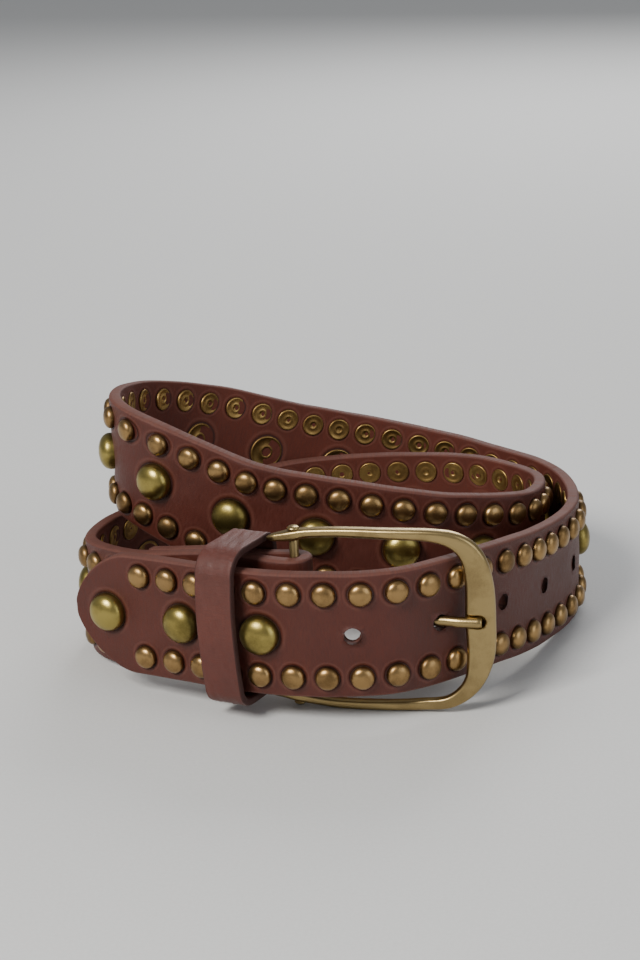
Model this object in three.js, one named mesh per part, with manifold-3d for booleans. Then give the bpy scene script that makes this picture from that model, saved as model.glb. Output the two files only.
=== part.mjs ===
// Studded leather belt, buckled into a coil of two turns and standing on its lower edge.
// Millimetres, +Z up. The free end lies across the front, on the side of -Y.
import * as THREE from "three";
import { mergeVertices } from "three/addons/utils/BufferGeometryUtils.js";
import Module from "manifold-3d";

const wasm = await Module();
wasm.setup();

// Driving dimensions of the strap
const strapWidth = 38;
const leather = 3.8;
const tipLength = 20;
const tipFullness = 1.65; // 2 is half an ellipse, 1 a straight-sided point
const tipBlunt = 2.4; // the flat at the very tip
const tipToFirstStud = 25;

// Driving dimensions of the studs and holes
const pitch = 10; // between small studs along a row
const rowInset = 6.2; // from the strap's edge to the middle of a row
const smallWidth = 7.1;
const smallHeight = 2.6;
const largeWidth = 11.8;
const largeHeight = 4.3;
const largeSpacing = 26.7;
const tipToFirstLarge = 12.5;
const largeAtTip = 3; // large studs between the tip and the first hole
const holeCount = 5;
const holeInUse = 1; // counted from 0 at the tip's side
const holeWidth = 5;
const postWidth = 2.2;
const postInCap = 1; // how far the post runs up into the large stud's dome
const studLift = 0.4; // between the leather and a large stud's flat back

// Driving dimensions of the coil
const coilRadius = 83.3;
const seat = 0.3; // gap between pieces that touch
const layerGap = 0.5; // between a large stud and the back of the next layer out
const freeEndSlack = 1; // extra room behind the free end
const studFreeEnd = 16; // no stud sits closer than this to the bar
const foldLength = 48;
const foldTaper = 14; // the two plies of the fold close on each other over this length

// Driving dimensions of the buckle
const heelReach = 54; // from the bar's centre to the middle of the heel
const legHeight = 27; // from the strap's middle line to a leg's centre line
const heelWidth = 9;
const heelClearance = 1.7; // between the small studs and the heel's back
const frameDepth = 4.4;
const frameBow = 2.2;
const frameBevel = 0.9;
const barWidth = 2.8;
const barNeck = 2.2; // the bar's ends, where they pass through the legs
const barHead = 3.8;
const barHeadHeight = 0.8;
const tongueWidth = 3.2;
const tongueReach = 46.5; // along the strap, from the bar to the hole in use
const tongueOverlap = 0.5; // how far the tongue runs past the middle of the heel
const tongueRise = 0.6; // share of the way out to the hole, halfway along
const tongueBow = 0.35;
const notchDepth = 1.4;
const notchPast = 1.2;
const eyeWall = 1.7;
const slotClearance = 0.9;
const cutMargin = 0.8; // how far a cut runs past the leather

// Driving dimensions of the keeper
const keeperWidth = 12.5;
const keeperLeather = 2.2;
const keeperToBar = 17.5; // from the keeper's middle to the bar
const keeperHeadroom = 4;
const keeperFoot = 1.6;
const keeperBulge = 0.8;
const keeperCorner = 3;
const keeperSlack = 1.7; // room behind the fold, where the straps bend

// Sizes that follow
const up = new THREE.Vector3(0, 0, 1);
const halfWidth = strapWidth / 2;
const halfLeather = leather / 2;
const layerPitch = leather + largeHeight + layerGap;
const rowHeight = halfWidth - rowInset;
const foldRadius = barWidth / 2 + seat + halfLeather;
const stackLift = strapWidth + seat;
const holeStation = tipToFirstLarge + largeSpacing * (largeAtTip + holeInUse);
const barStation = holeStation - tongueReach;

// The path of the strap's lower edge round the coil's middle, seen from above.
// turn: degrees round the middle, from +X against the clock. reach: share of coilRadius.
// layer: how many layers further in it lies. stack: height as a share of stackLift.
// held: height as a share of hoist. lean: degrees that the upper edge tips towards the middle.
const route = [
  { turn: -145, reach: 1.075, layer: 0, stack: 0, held: 0.72, lean: 0 },
  { turn: -122.5, reach: 0.985, layer: 0, stack: 0, held: 0.82, lean: 0 },
  { turn: -99.5, reach: 1.05, layer: 0, stack: 0, held: 0.97, lean: 0 },
  { turn: -78, reach: 1.1, layer: 0, stack: 0, held: 1, lean: 0 },
  { turn: -56, reach: 1.02, layer: 0, stack: 0, held: 0.88, lean: 0 },
  { turn: -30.5, reach: 0.955, layer: 0, stack: 0, held: 0.32, lean: 0 },
  { turn: -5.5, reach: 0.99, layer: 0, stack: 0, held: 0.06, lean: 0 },
  { turn: 19, reach: 1.005, layer: 0, stack: 0, held: 0, lean: 0 },
  { turn: 43, reach: 0.92, layer: 0, stack: 0.04, held: 0, lean: 0 },
  { turn: 69.5, reach: 0.785, layer: 0, stack: 0.2, held: 0, lean: 0 },
  { turn: 100.5, reach: 0.69, layer: 0, stack: 0.42, held: 0, lean: 0 },
  { turn: 133.5, reach: 0.72, layer: 0, stack: 0.72, held: 0, lean: 0 },
  { turn: 162, reach: 0.865, layer: 1, stack: 0.94, held: 0, lean: 0 },
  { turn: 191, reach: 0.84, layer: 1, stack: 1.01, held: 0, lean: 0 },
  { turn: 226.5, reach: 0.7, layer: 2, stack: 0.67, held: 0, lean: 0 },
  { turn: 278.5, reach: 0.63, layer: 2, stack: 0.48, held: 0, lean: 0 },
  { turn: 319.5, reach: 0.805, layer: 2, stack: 0.3, held: 0, lean: 0 },
  { turn: 347, reach: 0.9, layer: 1, stack: 0.13, held: 0, lean: 0 },
  { turn: 372, reach: 0.995, layer: 1, stack: 0.03, held: 0, lean: 0 },
  { turn: 396.5, reach: 0.925, layer: 1, stack: 0, held: 0, lean: 0 },
  { turn: 424.5, reach: 0.77, layer: 1, stack: 0, held: 0, lean: 4 },
  { turn: 460.5, reach: 0.68, layer: 1, stack: 0, held: 0, lean: 6 },
  { turn: 498.5, reach: 0.71, layer: 1, stack: 0, held: 0, lean: 10 },
  { turn: 525, reach: 0.78, layer: 1, stack: 0, held: 0, lean: 6 },
  { turn: 546, reach: 0.84, layer: 0, stack: 0, held: 0, lean: 4 },
  { turn: 563, reach: 0.92, layer: 0, stack: 0.02, held: 0, lean: 0 },
];

// The last stretch runs behind the free end, one layer further in, and past the bar's own row.
// station: share of barStation. held: height as a share of hoist.
const besideFreeEnd = [
  { station: 0.24, held: 0.4 },
  { station: 0.65, held: 0.94 },
  { station: 1, held: 1 },
  { station: 1.35, held: 1 },
];

// The buckle's frame from the tip of its upper leg round the heel to the tip of its lower leg.
// along: share of heelReach. rise: share of legHeight. bow: share of frameBow.
// wide: share of heelWidth, seen from the front. deep: share of frameDepth.
const frameRows = [
  { along: -0.15, rise: 0.9, bow: 0, wide: 0.2, deep: 0.55 },
  { along: -0.08, rise: 0.92, bow: 0, wide: 0.3, deep: 0.85 },
  { along: 0, rise: 0.945, bow: 0, wide: 0.38, deep: 1.15 },
  { along: 0.08, rise: 0.975, bow: 0.15, wide: 0.32, deep: 0.95 },
  { along: 0.26, rise: 1, bow: 0.55, wide: 0.32, deep: 0.95 },
  { along: 0.52, rise: 1, bow: 1, wide: 0.37, deep: 1 },
  { along: 0.74, rise: 0.99, bow: 1, wide: 0.42, deep: 1 },
  { along: 0.875, rise: 0.915, bow: 0.75, wide: 0.6, deep: 1 },
  { along: 0.96, rise: 0.73, bow: 0.4, wide: 0.8, deep: 1 },
  { along: 0.995, rise: 0.42, bow: 0.1, wide: 0.93, deep: 1 },
  { along: 1, rise: 0, bow: 0, wide: 1, deep: 1 },
  { along: 1, rise: -0.4, bow: 0.3, wide: 0.9, deep: 1 },
  { along: 0.955, rise: -0.71, bow: 0.9, wide: 0.62, deep: 0.95 },
  { along: 0.84, rise: -0.91, bow: 1.2, wide: 0.44, deep: 0.85 },
  { along: 0.68, rise: -0.96, bow: 1, wide: 0.38, deep: 0.9 },
  { along: 0.5, rise: -0.98, bow: 1, wide: 0.35, deep: 0.9 },
  { along: 0.25, rise: -0.99, bow: 0.55, wide: 0.33, deep: 0.95 },
  { along: 0.08, rise: -0.965, bow: 0.15, wide: 0.32, deep: 0.95 },
  { along: 0, rise: -0.935, bow: 0, wide: 0.38, deep: 1.15 },
  { along: -0.09, rise: -0.91, bow: 0, wide: 0.28, deep: 0.75 },
  { along: -0.18, rise: -0.9, bow: 0, wide: 0.18, deep: 0.5 },
];

// The frame's lower leg stands on the ground and holds the strap this far above it
const legBelow = ({ wide, rise }) => (wide * heelWidth) / 2 - rise * legHeight;
const hoist = Math.max(...frameRows.map(legBelow)) - halfWidth;

// Domes, from the rim to the top. sides: of the ring. out: share of the radius. high: share of the height.
const smallDome = [
  { sides: 10, out: 1, high: 0 },
  { sides: 5, out: 0.62, high: 0.79 },
];
const largeDome = [
  { sides: 10, out: 1, high: 0 },
  { sides: 10, out: 0.74, high: 0.71 },
];

// How finely curved pieces are cut into facets
const fineSteps = 1600; // samples of the strap's route
const foldSteps = 6;
const postSides = 5;
const holeSides = 12;
const barSides = 8;
const barHoleSides = 10;
const tongueSides = 8;
const tongueSteps = 8;
const eyeSegments = 6;
const keeperSegments = 4;
const weld = 1e-4; // points closer than this are one point
const tension = 0.5; // of every smooth curve

// Small helpers for points, frames and solids

const radians = THREE.MathUtils.degToRad;

function along(origin, ...steps) {
  const point = origin.clone();
  for (let i = 0; i < steps.length; i += 2) point.addScaledVector(steps[i], steps[i + 1]);
  return point;
}

// A place on the strap's middle surface: t runs towards the buckle, w to the upper edge, n outwards.
function placeMatrix({ centre, t, w, n }, out = 0, high = 0) {
  return new THREE.Matrix4().makeBasis(t, w, n).setPosition(along(centre, n, out, w, high));
}

function solidOf(geometry) {
  const bare = new THREE.BufferGeometry();
  bare.setAttribute("position", geometry.getAttribute("position"));
  bare.setIndex(geometry.getIndex());
  const merged = mergeVertices(bare, weld);
  const mesh = new wasm.Mesh({
    numProp: 3,
    vertProperties: merged.getAttribute("position").array,
    triVerts: new Uint32Array(merged.getIndex().array),
  });
  return new wasm.Manifold(mesh);
}

function geometryOf(solid) {
  const mesh = solid.getMesh();
  const geometry = new THREE.BufferGeometry();
  geometry.setAttribute("position", new THREE.BufferAttribute(new Float32Array(mesh.vertProperties), 3));
  geometry.setIndex(new THREE.BufferAttribute(new Uint32Array(mesh.triVerts), 1));
  geometry.computeVertexNormals();
  return geometry;
}

// Rings of equally many points, each ring counted against the clock seen from the next one.
function loftGeometry(rings) {
  const count = rings[0].length;
  const index = [];
  for (let r = 0; r + 1 < rings.length; r++) {
    for (let i = 0; i < count; i++) {
      const a = r * count + i;
      const b = r * count + ((i + 1) % count);
      index.push(a, b, b + count, a, b + count, a + count);
    }
  }
  const last = (rings.length - 1) * count;
  for (let i = 1; i + 1 < count; i++) {
    index.push(0, i + 1, i);
    index.push(last, last + i, last + i + 1);
  }
  const geometry = new THREE.BufferGeometry().setFromPoints(rings.flat());
  geometry.setIndex(index);
  return geometry;
}

function smoothCurve(points) {
  return new THREE.CatmullRomCurve3(points, false, "catmullrom", tension);
}

// A straight prism with regular ends, round the local z axis.
function prism(width, sides, from, to) {
  const ring = (z) => Array.from({ length: sides }, (_, i) => {
    const angle = (2 * Math.PI * i) / sides;
    return new THREE.Vector3((width / 2) * Math.cos(angle), (width / 2) * Math.sin(angle), z);
  });
  return loftGeometry([ring(from), ring(to)]);
}

// The points of a dome round the local z axis, from its rim at base to its top
function domePoints(rows, width, height, base) {
  const ring = ({ sides, out, high }) => Array.from({ length: sides }, (_, i) => {
    const angle = (2 * Math.PI * i) / sides;
    const radius = (width / 2) * out;
    const z = base + (height - base) * high;
    return new THREE.Vector3(radius * Math.cos(angle), radius * Math.sin(angle), z);
  });
  const points = rows.flatMap(ring);
  points.push(new THREE.Vector3(0, 0, height));
  return points;
}

// Its faces: each ring has as many points as the ring below it, or half as many
function domeFaces(rows) {
  const index = [];
  let a = 0;
  rows.forEach(({ sides }, r) => {
    const next = rows[r + 1];
    const b = a + sides;
    for (let i = 0; i < sides; i++) {
      const j = (i + 1) % sides;
      const half = Math.floor(i / 2);
      if (!next) {
        index.push(a + i, a + j, b);
      } else if (next.sides === sides) {
        index.push(a + i, a + j, b + j, a + i, b + j, b + i);
      } else if (i % 2 === 0) {
        index.push(a + i, a + j, b + half);
      } else {
        const after = b + ((half + 1) % next.sides);
        index.push(a + i, a + j, after, a + i, after, b + half);
      }
    }
    a = b;
  });
  return index;
}

function domeGeometry(rows, width, height, base) {
  const geometry = new THREE.BufferGeometry().setFromPoints(domePoints(rows, width, height, base));
  const index = domeFaces(rows);
  for (let i = 1; i + 1 < rows[0].sides; i++) index.push(0, i + 1, i);
  geometry.setIndex(index);
  return geometry;
}

// The strap's route, measured along its middle line

function footPoint({ turn, reach, layer, stack, held }) {
  const radius = reach * coilRadius - layer * layerPitch;
  const angle = radians(turn);
  const height = stack * stackLift + held * hoist;
  return new THREE.Vector3(radius * Math.cos(angle), radius * Math.sin(angle), height);
}

// Samples of the middle line over a curve of foot points and a second curve that carries the lean.
function sampleRoute(feet, leans) {
  const path = smoothCurve(feet);
  const lean = smoothCurve(leans.map((a) => new THREE.Vector3(radians(a), 0, 0)));
  const samples = [];
  let s = 0;
  for (let i = 0; i <= fineSteps; i++) {
    const share = i / fineSteps;
    const t = path.getTangent(share);
    const side = new THREE.Vector3().crossVectors(t, up).normalize();
    const rise = new THREE.Vector3().crossVectors(side, t);
    const tip = lean.getPoint(share).x;
    const w = along(new THREE.Vector3(), rise, Math.cos(tip), side, -Math.sin(tip));
    const n = along(new THREE.Vector3(), side, Math.cos(tip), rise, Math.sin(tip));
    const rest = halfLeather * Math.abs(Math.sin(tip));
    const centre = along(path.getPoint(share), w, halfWidth, up, rest);
    if (i > 0) s += centre.distanceTo(samples[i - 1].centre);
    samples.push({ s, share, centre, t, w, n });
  }
  return samples;
}

function placeAt(samples, s) {
  let i = 1;
  while (i < samples.length - 1 && samples[i].s < s) i++;
  const a = samples[i - 1];
  const b = samples[i];
  const k = (s - a.s) / (b.s - a.s);
  const centre = a.centre.clone().lerp(b.centre, k);
  const t = a.t.clone().lerp(b.t, k).normalize();
  const n = a.n.clone().lerp(b.n, k);
  n.addScaledVector(t, -n.dot(t)).normalize();
  const w = new THREE.Vector3().crossVectors(n, t);
  return { centre, t, w, n };
}

const tableFeet = route.map(footPoint);
const freeEnd = sampleRoute(tableFeet, route.map((row) => row.lean));
const insideFeet = besideFreeEnd.map(({ station, held }) => {
  const { centre, n } = placeAt(freeEnd, station * barStation);
  return along(centre, n, -(layerPitch + freeEndSlack)).setZ(held * hoist);
});
const feet = [...tableFeet, ...insideFeet];
const leans = [...route.map((row) => row.lean), ...insideFeet.map(() => 0)];
const samples = sampleRoute(feet, leans);
const barShare = (feet.length - 2) / (feet.length - 1);
const strapEnd = samples.find((sample) => sample.share >= barShare).s;

// The buckle's own frame: x from the bar to the heel, y up, z outwards

const foldStart = placeAt(samples, strapEnd);
const barCentre = along(foldStart.centre, foldStart.n, -foldRadius);
const heelLift = halfLeather + smallHeight + heelClearance + frameDepth / 2;
const searchStep = 0.2;
let heelStation = barStation + tongueReach;
let heelCentre = barCentre.clone();
while (barCentre.distanceTo(heelCentre) < heelReach && heelStation < strapEnd) {
  heelStation += searchStep;
  const place = placeAt(samples, heelStation);
  heelCentre = along(place.centre, place.n, heelLift).setZ(barCentre.z);
}
const buckleX = heelCentre.clone().sub(barCentre).normalize();
const buckleZ = new THREE.Vector3().crossVectors(buckleX, up);
const buckleMatrix = new THREE.Matrix4().makeBasis(buckleX, up, buckleZ).setPosition(barCentre);

function inBuckle(point) {
  return point.clone().applyMatrix4(buckleMatrix.clone().invert());
}

// The strap's stations: the tip, one between each pair of small studs, and the fold round the bar

function tipHalfWidth(fromTip) {
  const share = Math.min(fromTip / tipLength, 1);
  const curve = Math.pow(1 - Math.pow(1 - share, tipFullness), 1 / tipFullness);
  return Math.max(halfWidth * curve, tipBlunt / 2);
}

const tipShares = [0, 0.06, 0.18, 0.36, 0.62];
const stations = tipShares.map((share) => {
  const s = share * tipLength;
  return { s, ...placeAt(samples, s), half: tipHalfWidth(s) };
});
for (let s = tipToFirstStud - pitch / 2; s < strapEnd - pitch / 4; s += pitch) {
  stations.push({ s, ...placeAt(samples, s), half: halfWidth });
}
const outerPly = stations.filter((station) => station.s > strapEnd - foldLength);
stations.push({ s: strapEnd, ...foldStart, half: halfWidth });
for (let i = 1; i <= foldSteps; i++) {
  const angle = (Math.PI * i) / foldSteps;
  const n = along(new THREE.Vector3(), foldStart.n, Math.cos(angle), foldStart.t, Math.sin(angle));
  const t = along(new THREE.Vector3(), foldStart.t, Math.cos(angle), foldStart.n, -Math.sin(angle));
  const centre = along(barCentre, n, foldRadius);
  stations.push({ s: strapEnd, centre, t, w: foldStart.w, n, half: halfWidth });
}
const pliesApart = leather + seat;
[...outerPly].reverse().forEach(({ s, centre, t, w, n }) => {
  const open = Math.max(1 - (strapEnd - s) / foldTaper, 0);
  const gap = pliesApart + (2 * foldRadius - pliesApart) * open * open;
  stations.push({
    s: strapEnd,
    centre: along(centre, n, -gap),
    t: t.clone().negate(),
    w,
    n: n.clone().negate(),
    half: halfWidth,
  });
});

function section({ centre, w, n, half }) {
  return [
    along(centre, n, -halfLeather, w, -half),
    along(centre, n, -halfLeather, w, half),
    along(centre, n, halfLeather, w, half),
    along(centre, n, halfLeather, w, -half),
  ];
}

// Where the studs and holes lie, as distances from the tip

const freeOfStuds = strapEnd - studFreeEnd;
const smallStations = [];
for (let s = tipToFirstStud; s < freeOfStuds; s += pitch) smallStations.push(s);
const largeStations = [];
const holeStations = [];
for (let k = 0; tipToFirstLarge + k * largeSpacing < freeOfStuds; k++) {
  const isHole = k >= largeAtTip && k < largeAtTip + holeCount;
  (isHole ? holeStations : largeStations).push(tipToFirstLarge + k * largeSpacing);
}

// One outer facet of the strap with its two small domes: the rim of each is a ring in the facet.
// corners: indices of the facet's four corners, counted against the clock seen from outside.
function addStuddedFacet(points, index, corners, a, b) {
  const t = b.centre.clone().sub(a.centre).normalize();
  const w = a.w.clone().add(b.w).normalize();
  const n = new THREE.Vector3().crossVectors(t, w).normalize();
  const middle = a.centre.clone().lerp(b.centre, 0.5);
  const surface = along(middle, along(a.n, b.n, 1), halfLeather / 2);
  const flat = (point) => {
    const step = point.clone().sub(middle);
    return new THREE.Vector2(step.dot(t), step.dot(w));
  };
  const rims = [-rowHeight, rowHeight].map((high) => {
    const first = points.length;
    const matrix = new THREE.Matrix4().makeBasis(t, w, n).setPosition(along(surface, w, high));
    const dome = domePoints(smallDome, smallWidth, smallHeight, 0);
    points.push(...dome.map((point) => point.applyMatrix4(matrix)));
    index.push(...domeFaces(smallDome).map((i) => i + first));
    return Array.from({ length: smallDome[0].sides }, (_, i) => first + i);
  });
  const contour = corners.map((i) => flat(points[i]));
  const holes = rims.map((rim) => rim.map((i) => flat(points[i])));
  const names = [...corners, ...rims.flat()];
  const flats = [...contour, ...holes.flat()];
  THREE.ShapeUtils.triangulateShape(contour, holes).forEach(([i, j, k]) => {
    const turns = flats[j].clone().sub(flats[i]).cross(flats[k].clone().sub(flats[i])) > 0;
    index.push(names[i], turns ? names[j] : names[k], turns ? names[k] : names[j]);
  });
}

// The band with its small studs: four sides between each pair of stations, and an end face at each end
function studdedBand() {
  const points = stations.flatMap(section);
  const index = [];
  const sides = 4;
  const outer = 2; // the side between a section's third and fourth points
  stations.slice(0, -1).forEach((a, r) => {
    const b = stations[r + 1];
    const studded = smallStations.some((s) => a.s < s && s < b.s);
    for (let i = 0; i < sides; i++) {
      const from = r * sides + i;
      const to = r * sides + ((i + 1) % sides);
      if (i === outer && studded) {
        addStuddedFacet(points, index, [from, to, to + sides, from + sides], a, b);
      } else {
        index.push(from, to, to + sides, from, to + sides, from + sides);
      }
    }
  });
  const last = (stations.length - 1) * sides;
  index.push(0, 2, 1, 0, 3, 2, last, last + 1, last + 2, last, last + 2, last + 3);
  const geometry = new THREE.BufferGeometry().setFromPoints(points);
  geometry.setIndex(index);
  return geometry;
}

function postLength(s) {
  const throughFold = s > strapEnd - foldLength + largeWidth / 2;
  return throughFold ? 2 * leather + seat : leather;
}

// The tongue: an eye round the bar and a bowed rod through the hole to the notch in the heel

const hole = inBuckle(placeAt(samples, holeStation).centre);
const notchZ = frameDepth / 2 - notchDepth + tongueWidth / 2;
const tongueEnd = heelReach + tongueOverlap;
const eyeRadius = barWidth / 2 + seat + eyeWall;

function tongueRod(grow, end) {
  const curve = smoothCurve([
    new THREE.Vector3(eyeRadius - eyeWall / 2, 0, 0),
    new THREE.Vector3(hole.x / 2, 0, hole.z * tongueRise),
    new THREE.Vector3(hole.x, 0, hole.z),
    new THREE.Vector3((hole.x + end) / 2, 0, (hole.z + notchZ) / 2 + tongueBow),
    new THREE.Vector3(end, 0, notchZ),
  ]);
  const radius = tongueWidth / 2 + grow;
  const rings = Array.from({ length: tongueSteps + 1 }, (_, i) => {
    const share = i / tongueSteps;
    const middle = curve.getPoint(share);
    const t = curve.getTangent(share);
    const side = new THREE.Vector3(0, 1, 0);
    const out = new THREE.Vector3().crossVectors(t, side);
    return Array.from({ length: tongueSides }, (_, j) => {
      const angle = (2 * Math.PI * (j + 0.5)) / tongueSides;
      return along(middle, side, radius * Math.cos(angle), out, radius * Math.sin(angle));
    });
  });
  return solidOf(loftGeometry(rings));
}

function ringShape(outer, inner) {
  const shape = new THREE.Shape();
  shape.absarc(0, 0, outer, 0, 2 * Math.PI);
  const gap = new THREE.Path();
  gap.absarc(0, 0, inner, 0, 2 * Math.PI, true);
  shape.holes.push(gap);
  return shape;
}

function tongueSolid() {
  const eye = new THREE.ExtrudeGeometry(ringShape(eyeRadius, barWidth / 2 + seat), {
    depth: tongueWidth,
    bevelEnabled: false,
    curveSegments: eyeSegments,
  });
  eye.translate(0, 0, -tongueWidth / 2);
  eye.rotateX(Math.PI / 2);
  return solidOf(eye).add(tongueRod(0, tongueEnd));
}

// The strap as one solid

function boxSolid(from, to) {
  const size = to.clone().sub(from);
  const middle = from.clone().add(to).multiplyScalar(0.5);
  return solidOf(new THREE.BoxGeometry(size.x, size.y, size.z).translate(middle.x, middle.y, middle.z));
}

function strapSolid() {
  let strap = solidOf(studdedBand());
  const cuts = [];
  holeStations.forEach((s) => {
    const cut = prism(holeWidth, holeSides, -halfLeather - cutMargin, halfLeather + cutMargin);
    cuts.push(solidOf(cut.applyMatrix4(placeMatrix(placeAt(samples, s)))));
  });
  largeStations.forEach((s) => {
    const inner = halfLeather - postLength(s) - cutMargin;
    const cut = prism(postWidth + 2 * seat, postSides, inner, halfLeather + cutMargin);
    cuts.push(solidOf(cut.applyMatrix4(placeMatrix(placeAt(samples, s)))));
  });
  const slotHalf = tongueWidth / 2 + slotClearance;
  const plies = foldRadius + halfLeather + slotClearance;
  const corner = new THREE.Vector3(plies, slotHalf, plies);
  const slot = boxSolid(corner.clone().negate(), corner);
  cuts.push(slot.transform(buckleMatrix.elements));
  cuts.push(tongueRod(seat, tongueEnd).transform(buckleMatrix.elements));
  cuts.forEach((cut) => {
    strap = strap.subtract(cut);
  });
  return strap;
}

// The highest point of the strap's outer facets under a large stud, above the strap's middle surface
function leatherUnder(s) {
  const { centre, t, n } = placeAt(samples, s);
  const reach = largeWidth / 2;
  const trials = 10;
  let highest = halfLeather;
  stations.slice(0, -1).forEach((a, i) => {
    const b = stations[i + 1];
    if (a.s > s + largeWidth || b.s < s - largeWidth) return;
    for (let trial = 0; trial <= trials; trial++) {
      [-reach, 0, reach].forEach((high) => {
        const from = along(a.centre, a.n, halfLeather, a.w, high);
        const to = along(b.centre, b.n, halfLeather, b.w, high);
        const step = from.lerp(to, trial / trials).sub(centre);
        if (Math.abs(step.dot(t)) < reach) highest = Math.max(highest, step.dot(n));
      });
    }
  });
  return highest;
}

function largeStudSolid(s) {
  const base = leatherUnder(s) + studLift;
  const cap = solidOf(domeGeometry(largeDome, largeWidth, largeHeight, 0));
  const post = solidOf(prism(postWidth, postSides, halfLeather - postLength(s) - base, postInCap));
  return cap.add(post).transform(placeMatrix(placeAt(samples, s), base).elements);
}

// The buckle's frame, its bar and the keeper

function frameSolid() {
  const rows = frameRows.map((row) => ({
    middle: new THREE.Vector3(row.along * heelReach, row.rise * legHeight, row.bow * frameBow),
    wide: (row.wide * heelWidth) / 2,
    deep: (row.deep * frameDepth) / 2,
  }));
  const rings = rows.map(({ middle, wide, deep }, i) => {
    const before = rows[Math.max(i - 1, 0)].middle;
    const after = rows[Math.min(i + 1, rows.length - 1)].middle;
    const t = after.clone().sub(before).normalize();
    const out = new THREE.Vector3(t.y, -t.x, 0).normalize().negate();
    const front = new THREE.Vector3().crossVectors(t, out);
    const bevel = Math.min(frameBevel, wide / 2, deep / 2);
    const corners = [
      { x: wide, z: deep - bevel },
      { x: wide - bevel, z: deep },
      { x: bevel - wide, z: deep },
      { x: -wide, z: deep - bevel },
      { x: -wide, z: bevel - deep },
      { x: bevel - wide, z: -deep },
      { x: wide - bevel, z: -deep },
      { x: wide, z: bevel - deep },
    ];
    return corners.map(({ x, z }) => along(middle, out, x, front, z));
  });
  let frame = solidOf(loftGeometry(rings));
  frame = frame.subtract(tongueRod(seat, tongueEnd + notchPast));
  const barHole = prism(barNeck + 2 * seat, barHoleSides, -2 * legHeight, 2 * legHeight);
  frame = frame.subtract(solidOf(barHole.rotateX(-Math.PI / 2)));
  return frame.transform(buckleMatrix.elements);
}

function barSolid() {
  const [upper, lower] = frameRows.filter((row) => row.along === 0);
  const half = (upper.wide * heelWidth) / 2 + seat;
  const top = upper.rise * legHeight;
  const foot = lower.rise * legHeight;
  const profile = [
    { radius: 0, y: foot - half - barHeadHeight },
    { radius: barHead / 2, y: foot - half - barHeadHeight / 2 },
    { radius: barHead / 2, y: foot - half },
    { radius: barNeck / 2, y: foot - half },
    { radius: barNeck / 2, y: foot + half },
    { radius: barWidth / 2, y: foot + half },
    { radius: barWidth / 2, y: top - half },
    { radius: barNeck / 2, y: top - half },
    { radius: barNeck / 2, y: top + half },
    { radius: barHead / 2, y: top + half },
    { radius: barHead / 2, y: top + half + barHeadHeight / 2 },
    { radius: 0, y: top + half + barHeadHeight },
  ];
  const points = profile.map(({ radius, y }) => new THREE.Vector2(radius, y));
  const turned = new THREE.LatheGeometry(points, barSides);
  return solidOf(turned).transform(buckleMatrix.elements);
}

// A closed outline round the straps, seen along them: x outwards, y up
function keeperOutline(grow) {
  const front = halfLeather + smallHeight + seat + grow;
  const back = -(layerPitch + freeEndSlack + pliesApart + halfLeather + keeperSlack + grow);
  const top = halfWidth + keeperHeadroom + grow;
  const foot = -(halfWidth + keeperFoot + grow);
  const corner = keeperCorner + grow;
  const outline = new THREE.Shape();
  outline.moveTo(back + corner, foot);
  outline.lineTo(front - corner, foot);
  outline.quadraticCurveTo(front, foot, front, foot + corner);
  outline.quadraticCurveTo(front + 2 * keeperBulge, (top + foot) / 2, front, top - corner);
  outline.quadraticCurveTo(front, top, front - corner, top);
  outline.lineTo(back + corner, top);
  outline.quadraticCurveTo(back, top, back, top - corner);
  outline.lineTo(back, foot + corner);
  outline.quadraticCurveTo(back, foot, back + corner, foot);
  return outline;
}

function keeperSolid() {
  const outline = keeperOutline(keeperLeather);
  outline.holes.push(keeperOutline(0));
  const loop = new THREE.ExtrudeGeometry(outline, {
    depth: keeperWidth,
    bevelEnabled: false,
    curveSegments: keeperSegments,
  });
  loop.translate(0, 0, -keeperWidth / 2);
  const { centre, t, w, n } = placeAt(samples, barStation - keeperToBar);
  const matrix = new THREE.Matrix4().makeBasis(n, w, t.clone().negate()).setPosition(centre);
  return solidOf(loop).transform(matrix.elements);
}

// The assembly

const leatherBrown = { color: 0x4a1c16, roughness: 0.62, metalness: 0 };
const keeperBrown = { color: 0x57261c, roughness: 0.7, metalness: 0 };
const studBrass = { color: 0x8a6f3a, roughness: 0.35, metalness: 1 };
const buckleBrass = { color: 0x8c7548, roughness: 0.42, metalness: 1 };

const belt = new THREE.Group();

function addPiece(name, solid, look) {
  const mesh = new THREE.Mesh(geometryOf(solid), new THREE.MeshStandardMaterial(look));
  mesh.name = name;
  belt.add(mesh);
}

addPiece("strap", strapSolid(), leatherBrown);
largeStations.forEach((s, i) => {
  addPiece(`large_stud_${String(i + 1).padStart(2, "0")}`, largeStudSolid(s), studBrass);
});
addPiece("keeper_loop", keeperSolid(), keeperBrown);
addPiece("buckle_frame", frameSolid(), buckleBrass);
addPiece("buckle_bar", barSolid(), buckleBrass);
addPiece("buckle_tongue", tongueSolid().transform(buckleMatrix.elements), buckleBrass);

// The coil stands on the ground, with its middle over the origin
const bounds = new THREE.Box3().setFromObject(belt);
const middle = bounds.getCenter(new THREE.Vector3());
belt.position.set(-middle.x, -middle.y, -bounds.min.z);

export default belt;
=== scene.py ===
# %% [markdown]
# # A studded leather belt, coiled on its edge
# This notebook dresses a belt that was modelled first as plain solids. The solids stay as the
# fixed frame: they say where every piece is and how big it is. Each step below takes one piece,
# says what it is on the real belt, and builds the surface that the eye expects, in metres.

# %% Load the fixed frame
import math

import bpy
import numpy as np
from mathutils import Matrix, Vector


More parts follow.
